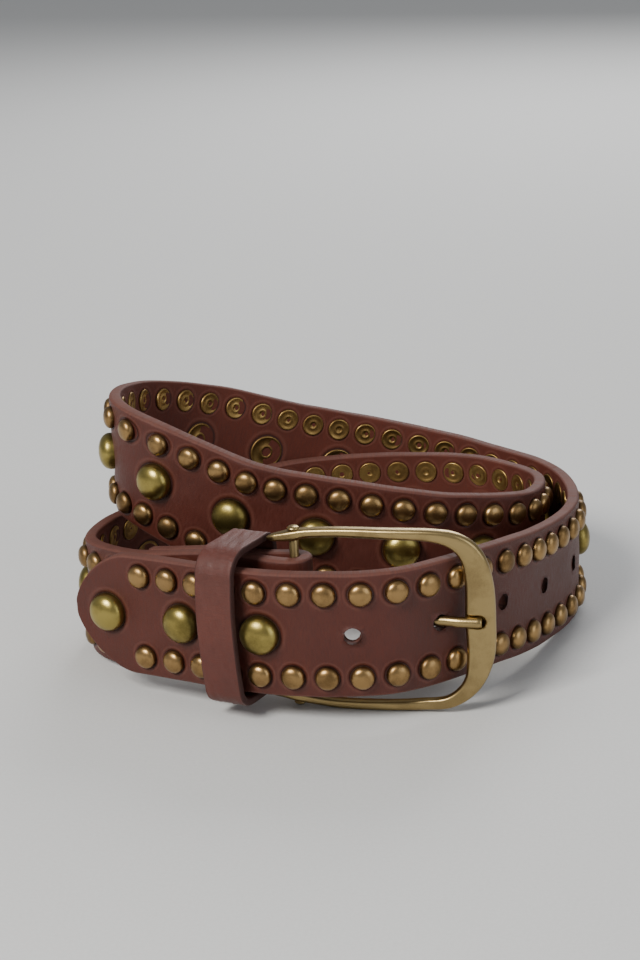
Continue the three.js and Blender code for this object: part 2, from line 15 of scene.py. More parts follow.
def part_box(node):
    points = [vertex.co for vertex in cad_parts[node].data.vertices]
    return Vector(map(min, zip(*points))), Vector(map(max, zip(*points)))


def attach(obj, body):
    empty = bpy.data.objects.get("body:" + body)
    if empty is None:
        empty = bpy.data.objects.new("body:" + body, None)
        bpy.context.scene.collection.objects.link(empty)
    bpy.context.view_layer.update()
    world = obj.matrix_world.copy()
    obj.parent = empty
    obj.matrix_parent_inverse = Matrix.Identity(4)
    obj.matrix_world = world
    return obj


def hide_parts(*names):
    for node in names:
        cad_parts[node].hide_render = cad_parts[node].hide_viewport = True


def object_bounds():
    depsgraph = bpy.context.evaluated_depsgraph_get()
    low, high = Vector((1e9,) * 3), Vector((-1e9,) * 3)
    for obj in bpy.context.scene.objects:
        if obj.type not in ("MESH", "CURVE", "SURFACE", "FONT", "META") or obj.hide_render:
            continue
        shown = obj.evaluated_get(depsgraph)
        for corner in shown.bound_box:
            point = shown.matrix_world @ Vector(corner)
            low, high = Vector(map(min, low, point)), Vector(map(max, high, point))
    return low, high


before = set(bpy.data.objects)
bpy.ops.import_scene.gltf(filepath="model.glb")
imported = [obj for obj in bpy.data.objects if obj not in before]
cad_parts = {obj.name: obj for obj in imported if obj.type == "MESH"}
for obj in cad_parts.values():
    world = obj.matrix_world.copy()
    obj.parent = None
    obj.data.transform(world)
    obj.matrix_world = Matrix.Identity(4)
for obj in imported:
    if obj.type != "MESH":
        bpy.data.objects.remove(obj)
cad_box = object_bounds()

MM = 0.001
low_corner, high_corner = (np.array(corner) for corner in cad_box)
print("nodes in the frame:", len(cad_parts), "box in mm:", np.round((high_corner - low_corner) / MM, 1))

# %% [markdown]
# ## Camera
# The belt is seen from a little above the table, with a long lens, so its turns overlap with
# little perspective. The camera is built from its place, the angle it looks down at, and a small
# roll. A matrix of three axes is clearer here than Euler angles, because each axis can be read.

# %% The camera
IMAGE_WIDTH = 640
FOCAL_PIXELS = 2142.8
SENSOR_WIDTH = 36
LOOK_DOWN = math.radians(18.4)
ROLL = math.radians(-2.312)
CAMERA_PLACE = Vector((-5.0, -645.54, 264.58)) * MM


def build_camera():
    forward = Vector((0, math.cos(LOOK_DOWN), -math.sin(LOOK_DOWN)))
    level_up = Vector((0, math.sin(LOOK_DOWN), math.cos(LOOK_DOWN)))
    level_right = Vector((1, 0, 0))
    right = level_right * math.cos(ROLL) + level_up * math.sin(ROLL)
    upward = level_up * math.cos(ROLL) - level_right * math.sin(ROLL)
    lens = bpy.data.cameras.new("camera")
    lens.sensor_fit = "HORIZONTAL"
    lens.sensor_width = SENSOR_WIDTH
    lens.lens = FOCAL_PIXELS / IMAGE_WIDTH * SENSOR_WIDTH
    lens.clip_start = 0.01
    camera = bpy.data.objects.new("camera", lens)
    camera.matrix_world = Matrix((right, upward, -forward)).transposed().to_4x4()
    camera.location = CAMERA_PLACE
    bpy.context.scene.collection.objects.link(camera)
    bpy.context.scene.camera = camera
    return camera


print("camera lens in mm:", round(build_camera().data.lens, 1))

# %% [markdown]
# ## Floor and light
# Brass only looks like brass when it has something to reflect. A large soft lamp high on the left
# gives each dome one bright patch, a wide weak lamp on the right opens the shadows, and a third
# behind the coil draws its rim. The sky is a plain pale grey, so nothing in it asks for attention.

# %% The stage
LAMPS = [
    dict(name="key_lamp", place=(-0.75, -0.85, 1.05), size=0.5, power=26, tint=(1.0, 0.97, 0.92)),
    dict(name="fill_lamp", place=(1.1, -0.9, 0.6), size=1.1, power=7, tint=(0.92, 0.96, 1.0)),
    dict(name="rim_lamp", place=(0.35, 1.2, 0.8), size=0.7, power=12, tint=(1.0, 1.0, 1.0)),
]
AIM = Vector((0, 0, 0.03))
SKY = (0.62, 0.64, 0.67, 1)
SKY_STRENGTH = 0.5


def build_lamp(name, place, size, power, tint):
    lamp = bpy.data.lights.new(name, "AREA")
    lamp.shape = "SQUARE"
    lamp.size = size
    lamp.energy = power
    lamp.color = tint
    holder = bpy.data.objects.new(name, lamp)
    holder.location = place
    holder.rotation_euler = (AIM - Vector(place)).to_track_quat("-Z", "Y").to_euler()
    bpy.context.scene.collection.objects.link(holder)


for lamp in LAMPS:
    build_lamp(**lamp)
world = bpy.data.worlds.new("studio")
world.use_nodes = True
world.node_tree.nodes["Background"].inputs["Color"].default_value = SKY
world.node_tree.nodes["Background"].inputs["Strength"].default_value = SKY_STRENGTH
bpy.context.scene.world = world
print("lamps:", len(LAMPS))

# %% [markdown]
# ## From numbers to meshes
# Every piece here is a grid of points: rows along the piece, columns round its section. Building grids with
# arrays is fast and exact, and it lets us store, at every point, where it lies on the strap. The materials read
# those stored values later, so the grain, and the painted shade and highlight round the studs, follow the
# leather.

# %% Helpers for meshes
def add_mesh(name, points, faces, values=None, smooth=True):
    mesh = bpy.data.meshes.new(name)
    mesh.from_pydata(np.asarray(points).tolist(), [], [tuple(face) for face in faces])
    mesh.update()
    for key, data in (values or {}).items():
        attribute = mesh.attributes.new(key, "FLOAT", "POINT")
        attribute.data.foreach_set("value", np.asarray(data, np.float32))
    mesh.polygons.foreach_set("use_smooth", [smooth] * len(mesh.polygons))
    piece = bpy.data.objects.new(name, mesh)
    bpy.context.scene.collection.objects.link(piece)
    return piece


def grid_faces(rows, columns, closed=True, first=0):
    """Faces between neighbouring rows; each row wraps round if it is closed."""
    last = columns if closed else columns - 1
    row, column = np.meshgrid(np.arange(rows - 1), np.arange(last), indexing="ij")
    beside = (column + 1) % columns
    a = first + row * columns + column
    b = first + row * columns + beside
    faces = np.stack([a, b, b + columns, a + columns], -1)
    return faces.reshape(-1, 4)


def unit(vectors):
    return vectors / np.linalg.norm(vectors, axis=-1, keepdims=True)


# %% [markdown]
# ## The route of the strap
# A coiled belt is a long ribbon standing on its edge. Its lower edge follows a path that goes
# twice round the middle, and each turn lies a stud's height inside or outside the other. The path
# is kept as a few chosen places in polar form, which is how one would describe a coil by hand: how
# far round, how far out, how high, and how much the ribbon leans.

# %% Sizes of the strap and its route
STRAP_WIDTH = 38 * MM
LEATHER = 3.8 * MM
TIP_LENGTH = 20 * MM
TIP_FULLNESS = 1.65
TIP_BLUNT = 2.4 * MM
SEAT = 0.3 * MM
COIL_RADIUS = 83.3 * MM
LARGE_HEIGHT = 4.3 * MM
LAYER_PITCH = LEATHER + LARGE_HEIGHT + 0.5 * MM
FREE_END_SLACK = 1 * MM
HOIST = 9.2133 * MM
BAR_WIDTH = 2.8 * MM
HOLE_STATION = 119.3 * MM
TONGUE_REACH = 46.5 * MM
BAR_STATION = HOLE_STATION - TONGUE_REACH
LEG_HEIGHT = 27 * MM
HEEL_WIDTH = 9 * MM
UPPER_LEG_AT_BAR = 0.945
LOWER_LEG_AT_BAR = 0.935
LEG_SHARE_AT_BAR = 0.38
HEAD_GAP = 0.3 * MM
BAR_HEAD_HEIGHT = 0.8 * MM
BAR_ABOVE = UPPER_LEG_AT_BAR * LEG_HEIGHT + LEG_SHARE_AT_BAR * HEEL_WIDTH / 2 + HEAD_GAP + BAR_HEAD_HEIGHT
HALF = STRAP_WIDTH / 2
SKIN = LEATHER / 2
FOLD_RADIUS = BAR_WIDTH / 2 + SEAT + SKIN
STACK_LIFT = STRAP_WIDTH + SEAT

# turn: degrees round the middle. reach: share of COIL_RADIUS. layer: layers further in.
# stack: share of STACK_LIFT. held: share of HOIST. lean: degrees towards the middle.
ROUTE = [
    dict(turn=-145, reach=1.075, layer=0, stack=0, held=0.72, lean=0),
    dict(turn=-122.5, reach=0.985, layer=0, stack=0, held=0.82, lean=0),
    dict(turn=-99.5, reach=1.05, layer=0, stack=0, held=0.97, lean=0),
    dict(turn=-78, reach=1.1, layer=0, stack=0, held=1, lean=0),
    dict(turn=-56, reach=1.02, layer=0, stack=0, held=0.88, lean=0),
    dict(turn=-30.5, reach=0.955, layer=0, stack=0, held=0.32, lean=0),
    dict(turn=-5.5, reach=0.99, layer=0, stack=0, held=0.06, lean=0),
    dict(turn=19, reach=1.005, layer=0, stack=0, held=0, lean=0),
    dict(turn=43, reach=0.92, layer=0, stack=0.04, held=0, lean=0),
    dict(turn=69.5, reach=0.785, layer=0, stack=0.2, held=0, lean=0),
    dict(turn=100.5, reach=0.69, layer=0, stack=0.42, held=0, lean=0),
    dict(turn=133.5, reach=0.72, layer=0, stack=0.72, held=0, lean=0),
    dict(turn=162, reach=0.865, layer=1, stack=0.94, held=0, lean=0),
    dict(turn=191, reach=0.84, layer=1, stack=1.01, held=0, lean=0),
    dict(turn=226.5, reach=0.7, layer=2, stack=0.67, held=0, lean=0),
    dict(turn=278.5, reach=0.63, layer=2, stack=0.48, held=0, lean=0),
    dict(turn=319.5, reach=0.805, layer=2, stack=0.3, held=0, lean=0),
    dict(turn=347, reach=0.9, layer=1, stack=0.13, held=0, lean=0),
    dict(turn=372, reach=0.995, layer=1, stack=0.03, held=0, lean=0),
    dict(turn=396.5, reach=0.925, layer=1, stack=0, held=0, lean=0),
    dict(turn=424.5, reach=0.77, layer=1, stack=0, held=0, lean=4),
    dict(turn=460.5, reach=0.68, layer=1, stack=0, held=0, lean=6),
    dict(turn=498.5, reach=0.71, layer=1, stack=0, held=0, lean=10),
    dict(turn=525, reach=0.78, layer=1, stack=0, held=0, lean=6),
    dict(turn=546, reach=0.84, layer=0, stack=0, held=0, lean=4),
    dict(turn=563, reach=0.92, layer=0, stack=0.02, held=0, lean=0),
]
# station: share of BAR_STATION along the free end. held: share of HOIST.
BESIDE_FREE_END = [
    dict(station=0.24, held=0.4),
    dict(station=0.65, held=0.94),
    dict(station=1, held=1),
    dict(station=1.35, held=1),
]


def spline(points, shares):
    """A curve through all the points, which bends gently from each to the next."""
    ends = np.vstack([2 * points[0] - points[1], points, 2 * points[-1] - points[-2]])
    spans = len(points) - 1
    place = np.clip(shares, 0, 1) * spans
    index = np.minimum(place.astype(int), spans - 1)
    k = (place - index)[:, None]
    a, b, c, d = (ends[index + step] for step in range(4))
    return 0.5 * (2 * b + (c - a) * k + (2 * a - 5 * b + 4 * c - d) * k**2 + (3 * b - a - 3 * c + d) * k**3)


def foot_points():
    turn = np.radians([row["turn"] for row in ROUTE])
    radius = np.array([row["reach"] * COIL_RADIUS - row["layer"] * LAYER_PITCH for row in ROUTE])
    height = np.array([row["stack"] * STACK_LIFT + row["held"] * HOIST for row in ROUTE])
    return np.stack([radius * np.cos(turn), radius * np.sin(turn), height], -1)


FINE_STEPS = 1600
NUDGE = 1e-4
UP = np.array([0, 0, 1.0])


class Route:
    """The strap's middle line: for a distance from the tip, a centre and three axes."""

    def __init__(self, feet, leans):
        self.share = np.linspace(0, 1, FINE_STEPS + 1)
        along = unit(spline(feet, self.share + NUDGE) - spline(feet, self.share - NUDGE))
        side = unit(np.cross(along, UP))
        rise = np.cross(side, along)
        tip = spline(np.radians(leans)[:, None], self.share)
        across = rise * np.cos(tip) - side * np.sin(tip)
        self.outward = side * np.cos(tip) + rise * np.sin(tip)
        self.centre = spline(feet, self.share) + across * HALF + UP * SKIN * np.abs(np.sin(tip))
        steps = np.linalg.norm(np.diff(self.centre, axis=0), axis=1)
        self.station = np.concatenate([[0], np.cumsum(steps)])
        self.along = along

    def at(self, station):
        """Centre, direction along the strap, direction to the upper edge, direction outwards."""
        def pick(data):
            return np.stack([np.interp(station, self.station, column) for column in data.T], -1)

        along = unit(pick(self.along))
        outward = pick(self.outward)
        outward = unit(outward - along * (outward * along).sum(-1, keepdims=True))
        return pick(self.centre), along, np.cross(outward, along), outward


table_feet = foot_points()
table_leans = [row["lean"] for row in ROUTE]
free_end = Route(table_feet, table_leans)
beside = np.array([row["station"] for row in BESIDE_FREE_END]) * BAR_STATION
centre, _, _, outward = free_end.at(beside)
inside_feet = centre - outward * (LAYER_PITCH + FREE_END_SLACK)
inside_feet[:, 2] = [row["held"] * HOIST for row in BESIDE_FREE_END]
feet = np.vstack([table_feet, inside_feet])
route = Route(feet, table_leans + [0] * len(inside_feet))
bar_share = (len(feet) - 2) / (len(feet) - 1)
STRAP_END = route.station[np.searchsorted(route.share, bar_share)]

# The bar's own solid says where the coil stands in the frame's coordinates.
end_centre, _, _, end_outward = (v[0] for v in route.at(np.array([STRAP_END])))
bar_low, bar_high = (np.array(corner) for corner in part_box("buckle_bar"))
bar_on_route = end_centre - end_outward * FOLD_RADIUS
SHIFT = (bar_low + bar_high) / 2 - bar_on_route
SHIFT[2] = bar_high[2] - BAR_ABOVE - bar_on_route[2]
route.centre = route.centre + SHIFT
print("shift in mm:", np.round(SHIFT / MM, 2))
print("strap from tip to bar in mm:", round(STRAP_END / MM, 1))

# %% [markdown]
# ## The leather band
# Real strap leather has soft rolled edges, a flat grain side, and shallow dishes where each rivet
# was pressed in. A plain extrusion shows none of this. So the band is a grid fine enough to carry
# real relief: about one point per millimetre, with the section's corners rounded, and the dishes
# and a slow unevenness moved into the points themselves.

# %% Stations, studs and holes along the band
PITCH = 10 * MM
TIP_TO_FIRST = 25 * MM
ROW_HEIGHT = HALF - 6.2 * MM
SMALL_WIDTH = 7.1 * MM
SMALL_HEIGHT = 2.6 * MM
LARGE_WIDTH = 11.8 * MM
LARGE_SPACING = 26.7 * MM
TIP_TO_LARGE = 12.5 * MM
LARGE_AT_TIP = 3
HOLE_COUNT = 5
HOLE_WIDTH = 5 * MM
STUD_FREE_END = 16 * MM
PLIES_APART = LEATHER + SEAT
FOLD_LENGTH = 48 * MM
FOLD_TAPER = 14 * MM
STEP = 1.15 * MM
TIP_ROWS = 25

free_of_studs = STRAP_END - STUD_FREE_END
small_stations = np.arange(TIP_TO_FIRST, free_of_studs, PITCH)
middle_stations = np.arange(TIP_TO_LARGE, free_of_studs, LARGE_SPACING)
middle_index = np.arange(len(middle_stations))
is_hole = (middle_index >= LARGE_AT_TIP) & (middle_index < LARGE_AT_TIP + HOLE_COUNT)
hole_stations = middle_stations[is_hole]
large_stations = middle_stations[~is_hole]
print("small studs per row:", len(small_stations), "large studs:", len(large_stations))


def tip_half_width(station):
    share = np.clip(station / TIP_LENGTH, 0, 1)
    curve = (1 - (1 - share) ** TIP_FULLNESS) ** (1 / TIP_FULLNESS)
    return np.maximum(HALF * curve, TIP_BLUNT / 2)


def band_stations():
    tip = TIP_LENGTH * np.linspace(0, 1, TIP_ROWS + 1)[:-1] ** 2
    body = np.linspace(TIP_LENGTH, STRAP_END, int((STRAP_END - TIP_LENGTH) / STEP))
    return np.concatenate([tip, body])


FOLD_STEPS = 14
PLY_STEPS = 40


def band_frames():
    """Centre and axes for every row of the band: out to the bar, round it, and back."""
    station = band_stations()
    centre, along, across, outward = route.at(station)
    turn = np.linspace(0, math.pi, FOLD_STEPS + 1)[1:, None]
    bar = centre[-1] - outward[-1] * FOLD_RADIUS
    fold_out = outward[-1] * np.cos(turn) + along[-1] * np.sin(turn)
    fold_along = along[-1] * np.cos(turn) - outward[-1] * np.sin(turn)
    fold_centre = bar + fold_out * FOLD_RADIUS
    back = np.linspace(0, FOLD_LENGTH, PLY_STEPS + 1)[1:]
    ply_centre, ply_along, ply_across, ply_out = route.at(STRAP_END - back)
    open_share = np.clip(1 - back / FOLD_TAPER, 0, 1)[:, None]
    swing = 0.5 - 0.5 * np.cos(math.pi * open_share)
    gap = PLIES_APART + (2 * FOLD_RADIUS - PLIES_APART) * swing
    rows = dict(
        station=np.concatenate([station, STRAP_END + FOLD_RADIUS * turn[:, 0],
                                STRAP_END + FOLD_RADIUS * math.pi + back]),
        centre=np.vstack([centre, fold_centre, ply_centre - ply_out * gap]),
        across=np.vstack([across, np.repeat(across[-1:], FOLD_STEPS, 0), ply_across]),
        outward=np.vstack([outward, fold_out, -ply_out]),
        along=np.vstack([along, fold_along, -ply_along]),
    )
    rows["half"] = np.where(rows["station"] < TIP_LENGTH, tip_half_width(rows["station"]), HALF)
    return rows, bar


rows, bar_centre = band_frames()

# %% The section of the band
FACE_COLUMNS = 39
GRAIN_CORNER = 0.95 * MM
FLESH_CORNER = 0.6 * MM
CORNER_STEPS = 4
EDGE_WAVE = 0.12 * MM
TIP_THINNING = 0.55


def section_columns():
    """For each column round the section: its side (1 grain, -1 flesh), place across, and corner offsets."""
    across = np.linspace(-1, 1, FACE_COLUMNS)
    angle = np.linspace(0, math.pi / 2, CORNER_STEPS + 1)[1:]
    columns = [(c, 0, 1, 0, GRAIN_CORNER) for c in across]
    columns += [(1, math.sin(a), 1, 1 - math.cos(a), GRAIN_CORNER) for a in angle]
    columns += [(1, math.sin(a), -1, 1 - math.cos(a), FLESH_CORNER) for a in angle[::-1]]
    columns += [(c, 0, -1, 0, FLESH_CORNER) for c in across[::-1]]
    columns += [(-1, math.sin(a), -1, 1 - math.cos(a), FLESH_CORNER) for a in angle]
    columns += [(-1, math.sin(a), 1, 1 - math.cos(a), GRAIN_CORNER) for a in angle[::-1]]
    return np.array(columns).T


def ripple(a, b, seed, waves=6, lengths=(9 * MM, 34 * MM)):
    """A slow unevenness over two coordinates, between about -1 and 1, the same on every run."""
    draw = np.random.default_rng(seed)
    total = np.zeros(np.broadcast(a, b).shape)
    for _ in range(waves):
        length = draw.uniform(*lengths)
        turn = draw.uniform(0, 2 * math.pi)
        phase = draw.uniform(0, 2 * math.pi)
        total += np.sin(2 * math.pi * (a * math.cos(turn) + b * math.sin(turn)) / length + phase)
    return total / waves * 1.6


def nearest(values, marks):
    """Distance from each value to the closest mark."""
    edges = (marks[1:] + marks[:-1]) / 2
    return values - marks[np.searchsorted(edges, values)]


DISH_DEPTH = 0.22 * MM
DISH_REACH = 1.2 * MM
LARGE_DISH_DEPTH = 0.28 * MM
LARGE_DISH_REACH = 1.8 * MM
RIM_BITE = 0.4 * MM
HOLE_DISH_DEPTH = 0.3 * MM
HOLE_DISH_REACH = 1.6 * MM
UNEVEN = 0.14 * MM
SLOT_REACH = 4 * MM
SLOT_HALF = 1.6 * MM


def dish(distance, radius, depth, reach):
    """A pressed-in place: deepest under the stud's rim, and level again a little further out."""
    share = np.clip((distance - radius) / reach, 0, 1)
    return -depth * (1 - share * share * (3 - 2 * share))


def relief(station, across):
    """How far the face lies below or above a flat one."""
    dx = nearest(station, small_stations)
    dy = np.abs(across) - ROW_HEIGHT
    height = dish(np.hypot(dx, dy), SMALL_WIDTH / 2, DISH_DEPTH, DISH_REACH)
    lx = nearest(station, large_stations)
    large_rim = LARGE_WIDTH / 2 - RIM_BITE
    height = height + dish(np.hypot(lx, across), large_rim, LARGE_DISH_DEPTH, LARGE_DISH_REACH)
    hx = nearest(station, hole_stations)
    height = height + dish(np.hypot(hx, across), HOLE_WIDTH / 2, HOLE_DISH_DEPTH, HOLE_DISH_REACH)
    height = np.where(station > free_of_studs + PITCH / 2, 0, height)
    return height + UNEVEN * ripple(station, across, seed=3)


# %% Build the band
def band_points():
    place, corner, side, drop, radius = section_columns()
    half = rows["half"][:, None]
    flat_half = np.maximum(half - radius, half * 0.3)
    across = place * flat_half + np.sign(place) * corner * (half - flat_half)
    edge_wave = EDGE_WAVE * ripple(rows["station"][:, None], np.sign(place) * 0.2, seed=8)
    across = across + np.sign(place) * edge_wave * (np.abs(place) == 1)
    station = rows["station"][:, None] + 0 * across
    height = side * (SKIN - drop * radius)
    lift = relief(station, across)
    is_face = corner == 0
    height = height + np.where(is_face & (side > 0), lift, 0)
    height = height + np.where(is_face & (side < 0), 0.4 * UNEVEN * ripple(station, across, seed=5), 0)
    end_share = np.clip(1 - rows["station"] / GRAIN_CORNER, 0, 1)[:, None]
    height = height * (1 - TIP_THINNING * (1 - np.sqrt(1 - end_share**2)))
    points = (rows["centre"][:, None] + rows["across"][:, None] * across[..., None]
              + rows["outward"][:, None] * height[..., None])
    face = np.broadcast_to(np.where(is_face, side, 0), across.shape)
    return points, station, across, face


# The four edges of a grid cell: its two corners, and the step to the cell beyond it.
CELL_EDGES = [
    ((0, 0), (0, 1), (-1, 0)),
    ((0, 1), (1, 1), (0, 1)),
    ((1, 1), (1, 0), (1, 0)),
    ((1, 0), (0, 0), (0, -1)),
]


def open_band(cut, width):
    """The cells to leave out on both faces, the walls between them, and the corners on the rim."""
    outer = np.arange(FACE_COLUMNS)
    inner = outer[::-1] + FACE_COLUMNS + 2 * CORNER_STEPS
    gone, walls, rim = set(), [], set()
    for r, c in zip(*np.nonzero(cut)):
        gone.update([(r, outer[c]), (r, inner[c + 1])])
        for first, second, beyond in CELL_EDGES:
            if cut[r + beyond[0], c + beyond[1]]:
                continue
            a, b = ((r + corner[0], c + corner[1]) for corner in (first, second))
            rim.update([a, b])
            walls.append((b[0] * width + outer[b[1]], a[0] * width + outer[a[1]],
                          a[0] * width + inner[a[1]], b[0] * width + inner[b[1]]))
    return gone, walls, [(r, c, outer[c], inner[c]) for r, c in rim]


def touching(inside):
    """Cells that have at least one corner inside."""
    return inside[:-1, :-1] | inside[1:, :-1] | inside[:-1, 1:] | inside[1:, 1:]


def punch_holes(points, station, across):
    """Leaves out cells at each hole and at the tongue's slot, and rounds the rims of the holes."""
    width = across.shape[1]
    face_station, face_across = station[:, :FACE_COLUMNS], across[:, :FACE_COLUMNS]
    slot_end = STRAP_END + math.pi * FOLD_RADIUS + SLOT_REACH
    in_slot = (face_station > STRAP_END - SLOT_REACH) & (face_station < slot_end)
    gone, walls, _ = open_band(touching(in_slot & (np.abs(face_across) < SLOT_HALF)), width)
    for hole in hole_stations:
        inside = np.hypot(face_station - hole, face_across) < HOLE_WIDTH / 2
        more_gone, more_walls, rim = open_band(touching(inside), width)
        gone |= more_gone
        walls += more_walls
        for row, column, front, back in rim:
            dx, dy = face_station[row, column] - hole, face_across[row, column]
            scale = HOLE_WIDTH / 2 / math.hypot(dx, dy) - 1
            step = rows["along"][row] * dx * scale + rows["across"][row] * dy * scale
            points[row, front] += step
            points[row, back] += step
    return gone, walls


def build_band():
    points, station, across, face = band_points()
    count, width = across.shape
    gone, walls = punch_holes(points, station, across)
    faces = grid_faces(count, width)
    keep = [i for i in range(len(faces)) if (i // width, i % width) not in gone]
    faces = [tuple(face) for face in faces[keep]] + walls
    ends = []
    for row, flip in ((0, True), (count - 1, False)):
        first = row * width
        for c in range(FACE_COLUMNS - 1):
            mirror = 2 * FACE_COLUMNS + 2 * CORNER_STEPS - 1 - c
            quad = (first + c, first + c + 1, first + mirror - 1, first + mirror)
            ends.append(quad if not flip else quad[::-1])
        top = [first + c for c in range(FACE_COLUMNS - 1, FACE_COLUMNS + 2 * CORNER_STEPS + 1)]
        low = [first + c for c in range(2 * FACE_COLUMNS + 2 * CORNER_STEPS - 1, width)] + [first]
        ends += [tuple(top[::-1]) if flip else tuple(top), tuple(low[::-1]) if flip else tuple(low)]
    values = dict(station=station.ravel() / MM, across=across.ravel() / MM, face=face.ravel())
    flipped = [tuple(f[::-1]) for f in faces + ends]
    return add_mesh("strap_band", points.reshape(-1, 3), flipped, values)


strap_band = build_band()
print("band points:", len(strap_band.data.vertices), "faces:", len(strap_band.data.polygons))

# %% [markdown]
# ## Studs
# A rivet cap is a thin pressed dome. Its edge meets the leather almost square, then the metal
# turns over into a smooth crown. Spinning a short profile gives this shape with few points, and
# the same dome is set down again at each place on the strap, turned a little each time.

# %% Helpers for pieces that are spun round an axis
def spin(profile, sides):
    """Points and faces of a profile of (radius, height), spun round the vertical axis."""
    angle = np.arange(sides) * 2 * math.pi / sides
    rings = [np.stack([r * np.cos(angle), r * np.sin(angle), np.full(sides, h)], -1) for r, h in profile]
    points = np.concatenate(rings + [np.array([[0, 0, profile[-1][1]]])])
    faces = [tuple(face) for face in grid_faces(len(profile), sides)]
    last = (len(profile) - 1) * sides
    faces += [(last + i, last + (i + 1) % sides, len(points) - 1) for i in range(sides)]
    return points, faces


def dome_profile(radius, height, rings, rim, skirt, square=2.3):
    """From a skirt hidden in the leather, up a little straight wall, to a rounded cap."""
    profile = [(radius * 0.985, -skirt), (radius, 0), (radius, rim)]
    for share in np.linspace(0, 1, rings + 1)[1:-1]:
        across = math.cos(share * math.pi / 2)
        rise = (1 - across**square) ** (1 / square)
        profile.append((radius * across, rim + (height - rim) * rise))
    profile.append((radius * 0.03, height))
    return profile


STUD_TILT = 0.018


def set_down(name, profile, sides, places, seed, side=1, lift=0.0):
    """One mesh with a copy of the spun profile at each (station, across) place on the strap."""
    points, faces = spin(profile, sides)
    draw = np.random.default_rng(seed)
    all_points, all_faces, tone, rise = [], [], [], []
    crown = profile[-1][1]
    for index, (station, across) in enumerate(places):
        centre, along, upward, outward = (v[0] for v in route.at(np.array([station])))
        spun = draw.uniform(0, 2 * math.pi)
        tilt = draw.normal(0, STUD_TILT, 2)
        axis_z = unit(outward * side + along * tilt[0] + upward * tilt[1])
        axis_x = unit(np.cross(upward * math.cos(spun) + along * math.sin(spun), axis_z))
        axes = np.stack([axis_x, np.cross(axis_z, axis_x), axis_z])
        base = centre + upward * across + outward * side * (SKIN + lift)
        all_points.append(points @ axes + base)
        all_faces += [tuple(i + index * len(points) for i in face) for face in faces]
        tone.append(np.full(len(points), draw.uniform()))
        rise.append(np.clip(points[:, 2] / crown, 0, 1))
    values = dict(tone=np.concatenate(tone), rise=np.concatenate(rise))
    return add_mesh(name, np.concatenate(all_points), all_faces, values)


# %% Small domes and large domes
SMALL_SIDES = 22
LARGE_SIDES = 40
SMALL_RINGS = 8
LARGE_RINGS = 12
SMALL_RIM = 0.35 * MM
LARGE_RIM = 0.45 * MM
SMALL_SKIRT = 0.3 * MM
LARGE_SKIRT = 1.1 * MM
LARGE_SQUARE = 2.15
STUD_SINK = 0.12 * MM
LARGE_LIFT = 0.25 * MM

small_places = [(s, row * ROW_HEIGHT) for s in small_stations for row in (-1, 1)]
small_profile = dome_profile(SMALL_WIDTH / 2, SMALL_HEIGHT, SMALL_RINGS, SMALL_RIM, SMALL_SKIRT)
small_studs = set_down("small_studs", small_profile, SMALL_SIDES, small_places, seed=11, lift=-STUD_SINK)

large_profile = dome_profile(LARGE_WIDTH / 2, LARGE_HEIGHT, LARGE_RINGS, LARGE_RIM, LARGE_SKIRT, LARGE_SQUARE)
large_nodes = sorted(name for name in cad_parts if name.startswith("large_stud_"))
large_studs = []
for index, (node, station) in enumerate(zip(large_nodes, large_stations)):
    stud = set_down(f"large_dome_{index + 1:02d}", large_profile, LARGE_SIDES, [(station, 0)],
                    seed=40 + index, lift=LARGE_LIFT)
    large_studs.append((stud, node))
print("small domes:", len(small_places), "large domes:", len(large_studs))

# %% [markdown]
# ## Rivet backs
# On the flesh side each stud ends in a small brass disc that was rolled over a post. It has a
# raised rim, a shallow dish and a dimple. The large studs end in a thin ring. They are spun the
# same way as the domes, and set down on the other face.

# %% Backs of the studs
def small_back_profile():
    return [(r * MM, h * MM) for r, h in (
        (3.7, -0.2), (3.75, 0.22), (3.6, 0.42), (3.3, 0.46), (2.95, 0.3), (2.3, 0.18),
        (1.75, 0.18), (1.5, 0.28), (1.2, 0.28), (1.0, 0.18), (0.8, 0.02), (0.1, -0.02))]


def large_back_profile():
    return [(r * MM, h * MM) for r, h in (
        (5.7, -0.2), (5.75, 0.25), (5.55, 0.42), (5.25, 0.42), (4.95, 0.2), (4.7, 0.02),
        (2.6, -0.02), (2.2, 0.2), (1.9, 0.24), (1.6, 0.1), (1.45, -0.25), (0.1, -0.3))]


SMALL_BACK_SIDES = 20
LARGE_BACK_SIDES = 32
FOLD_MARGIN = 6 * MM
in_fold = STRAP_END - FOLD_LENGTH + FOLD_MARGIN
back_places = [place for place in small_places if place[0] < in_fold]
small_backs = set_down("small_backs", small_back_profile(), SMALL_BACK_SIDES, back_places, seed=23, side=-1)
ring_places = [(s, 0) for s in large_stations if s < in_fold]
large_backs = set_down("large_backs", large_back_profile(), LARGE_BACK_SIDES, ring_places, seed=29, side=-1)
print("rivet backs:", len(back_places) + len(ring_places))

# %% [markdown]
# ## The buckle
# The buckle is a cast brass frame shaped like a heel: two legs that pass the bar and end open, and
# a wide curved side with a ridge along it and a notch for the tongue. It is swept along a smooth
# path through a few chosen places, with a section that is wider and flatter at the heel.

# %% The buckle's own axes
HEEL_REACH = 54 * MM
FRAME_DEPTH = 4.4 * MM
FRAME_BOW = 2.2 * MM
HEEL_CLEARANCE = 1.7 * MM
TONGUE_WIDTH = 3.2 * MM
TONGUE_OVERLAP = 0.5 * MM
NOTCH_DEPTH = 1.4 * MM
heel_lift = SKIN + SMALL_HEIGHT + HEEL_CLEARANCE + FRAME_DEPTH / 2


def find_heel():
    station = BAR_STATION + TONGUE_REACH
    heel = bar_centre
    while np.linalg.norm(heel - bar_centre) < HEEL_REACH:
        station += 0.2 * MM
        centre, _, _, outward = (v[0] for v in route.at(np.array([station])))
        heel = centre + outward * heel_lift
        heel[2] = bar_centre[2]
    return heel


